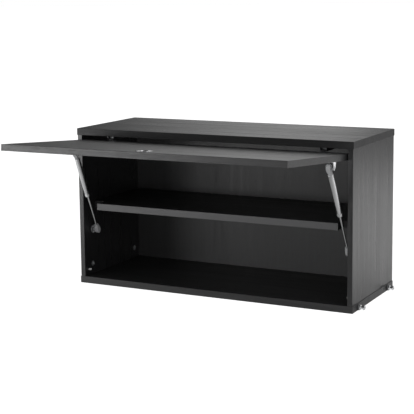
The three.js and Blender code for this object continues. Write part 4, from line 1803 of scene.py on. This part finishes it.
@dataclass
class Studio:
    """Pale floor and background, soft lamps and the photograph's camera."""

    image: float = 414.0
    focal: float = 1215.6
    eye: Triple = (1.3906, -2.8497, 0.7786)
    yaw: float = math.radians(27.292)
    pitch: float = math.radians(-8.583)
    roll: float = math.radians(-0.625)
    shift: float = -0.08
    sensor: float = 36.0
    aim: Triple = (0.0, -0.1, 0.2)
    lamps: tuple[Lamp, ...] = (
        Lamp("key", (-2.1, -2.6, 0.05), 1.9, 0.75, 43.0),
        Lamp("fill", (0.9, -3.1, 0.0), 1.8, 0.8, 25.0),
        Lamp("side", (2.6, -1.5, 1.5), 1.4, 1.4, 13.0),
    )
    world_light: float = 0.46
    world_dim: float = 0.05
    rear_glow: float = 0.72
    floor_radius: float = 60.0
    floor_thickness: float = 0.01
    floor_gap: float = 0.2 * MM
    floor_glow: float = 0.86

    def build(self) -> None:
        """Builds the camera, the world, the floor and the lamps."""
        self._camera()
        self._world()
        self._floor()
        for lamp in self.lamps:
            lamp.build(Vector(self.aim))
        bpy.context.scene.view_settings.view_transform = "Standard"

    def _camera(self) -> None:
        """The camera solved from the photograph's edges."""
        data = bpy.data.cameras.new("camera")
        data.sensor_width = self.sensor
        data.lens = self.focal / self.image * self.sensor
        data.shift_y = self.shift
        level = Matrix.Rotation(self.yaw, 4, "Z") @ Matrix.Rotation(math.pi / 2.0 + self.pitch, 4, "X")
        camera = linked("camera", data)
        camera.matrix_world = Matrix.Translation(self.eye) @ level @ Matrix.Rotation(self.roll, 4, "Z")
        bpy.context.scene.camera = camera

    def _world(self) -> None:
        """A white surround for the camera, and a dimmer one as light and in shiny faces."""
        world = bpy.data.worlds.new("surround")
        bpy.context.scene.world = world
        tree = ShaderTree(world)
        x, y, _ = tree.apart(tree.node("ShaderNodeTexCoord", output="Generated"))
        mirrored = self.world_dim + self._glow(x, y) * (1.0 - self.world_dim)
        strength = tree.surround(self.world_light, mirrored)
        inputs = {"Color": (1.0, 1.0, 1.0), "Strength": strength}
        light = tree.node("ShaderNodeBackground", inputs=inputs)
        tree.node("ShaderNodeOutputWorld", inputs={"Surface": light})

    def _glow(self, x: Signal, y: Signal) -> Signal:
        """How bright the surround is in shiny faces: a dark card stands in the bright rear.

        Args:
            x: How far to the right the way leads.
            y: How far to the rear.

        Returns:
            The brightness, from 0 to 1.
        """
        left = 0.0 - x / (x * x + y * y).root()
        behind = y.ramp(-0.1, 0.1)
        card = left.ramp(0.30, 0.36).highest(left.ramp(0.27, 0.18))
        rear = left.ramp(0.585, 0.385) * card * self.rear_glow
        return rear * behind + left.ramp(0.38, 0.58) * (1.0 - behind)

    def _floor(self) -> None:
        """A wide pale floor that keeps the cabinet's soft shadow."""
        outline = arc(0.0, 0.0, self.floor_radius, 0.0, 352.5, 47)
        lift = Matrix.Translation((0.0, 0.0, -self.floor_thickness - self.floor_gap))
        floor = Shape.plate(outline, self.floor_thickness, lift).object("floor")
        floor.data.materials.append(self._floor_material())

    def _floor_material(self) -> bpy.types.Material:
        """A pale floor that the camera sees as white but for the soft shadow, and that shows a painted pool
        of light in shiny faces.

        Returns:
            The material.
        """
        material = bpy.data.materials.new("pale_floor")
        tree = ShaderTree(material)
        speckle = tree.noise(tree.place(), 60.0, 3.0)
        colour = tree.mixed(speckle, (0.60, 0.60, 0.60), (0.62, 0.62, 0.62))
        matt = tree.node("ShaderNodeBsdfDiffuse", inputs={"Color": colour, "Roughness": 0.9})
        # Painted pool of light, seen only in shiny faces: the floor glows brightest within 0.5 m of a spot
        # behind the cabinet, fading out by 2 m, and 1 to 3 m out on the left it takes the surround's glow.
        place = tree.place((1.0, 1.0, 0.0), (-0.75, -1.2, 0.0))
        reach = tree.length(place)
        x, y, _ = tree.apart(place)
        far = reach.ramp(1.0, 3.0) * x.ramp(0.3, -0.6)
        mirrored = reach.ramp(2.0, 0.5).highest(self._glow(x, y) * far)
        strength = tree.surround(0.0, mirrored) * self.floor_glow
        inputs = {"Color": (1.0, 1.0, 1.0), "Strength": strength}
        white = tree.node("ShaderNodeEmission", inputs=inputs)
        surface = tree.node("ShaderNodeAddShader", inputs={0: matt, 1: white})
        tree.node("ShaderNodeOutputMaterial", inputs={"Surface": surface})
        return material


def main() -> None:
    """Builds the dressed cabinet and its studio."""
    Studio().build()
    Boards().build()
    CamHousings().build()
    HangingPegs().build()
    FlapStops().build()
    screws = ScrewBox()
    flap = FlapFrame.shown()
    FlushPull(flap).build()
    CupHinge(screws, flap).build()
    GasStrut(screws, flap).build()
    screws.build()


if __name__ == "__main__":
    main()
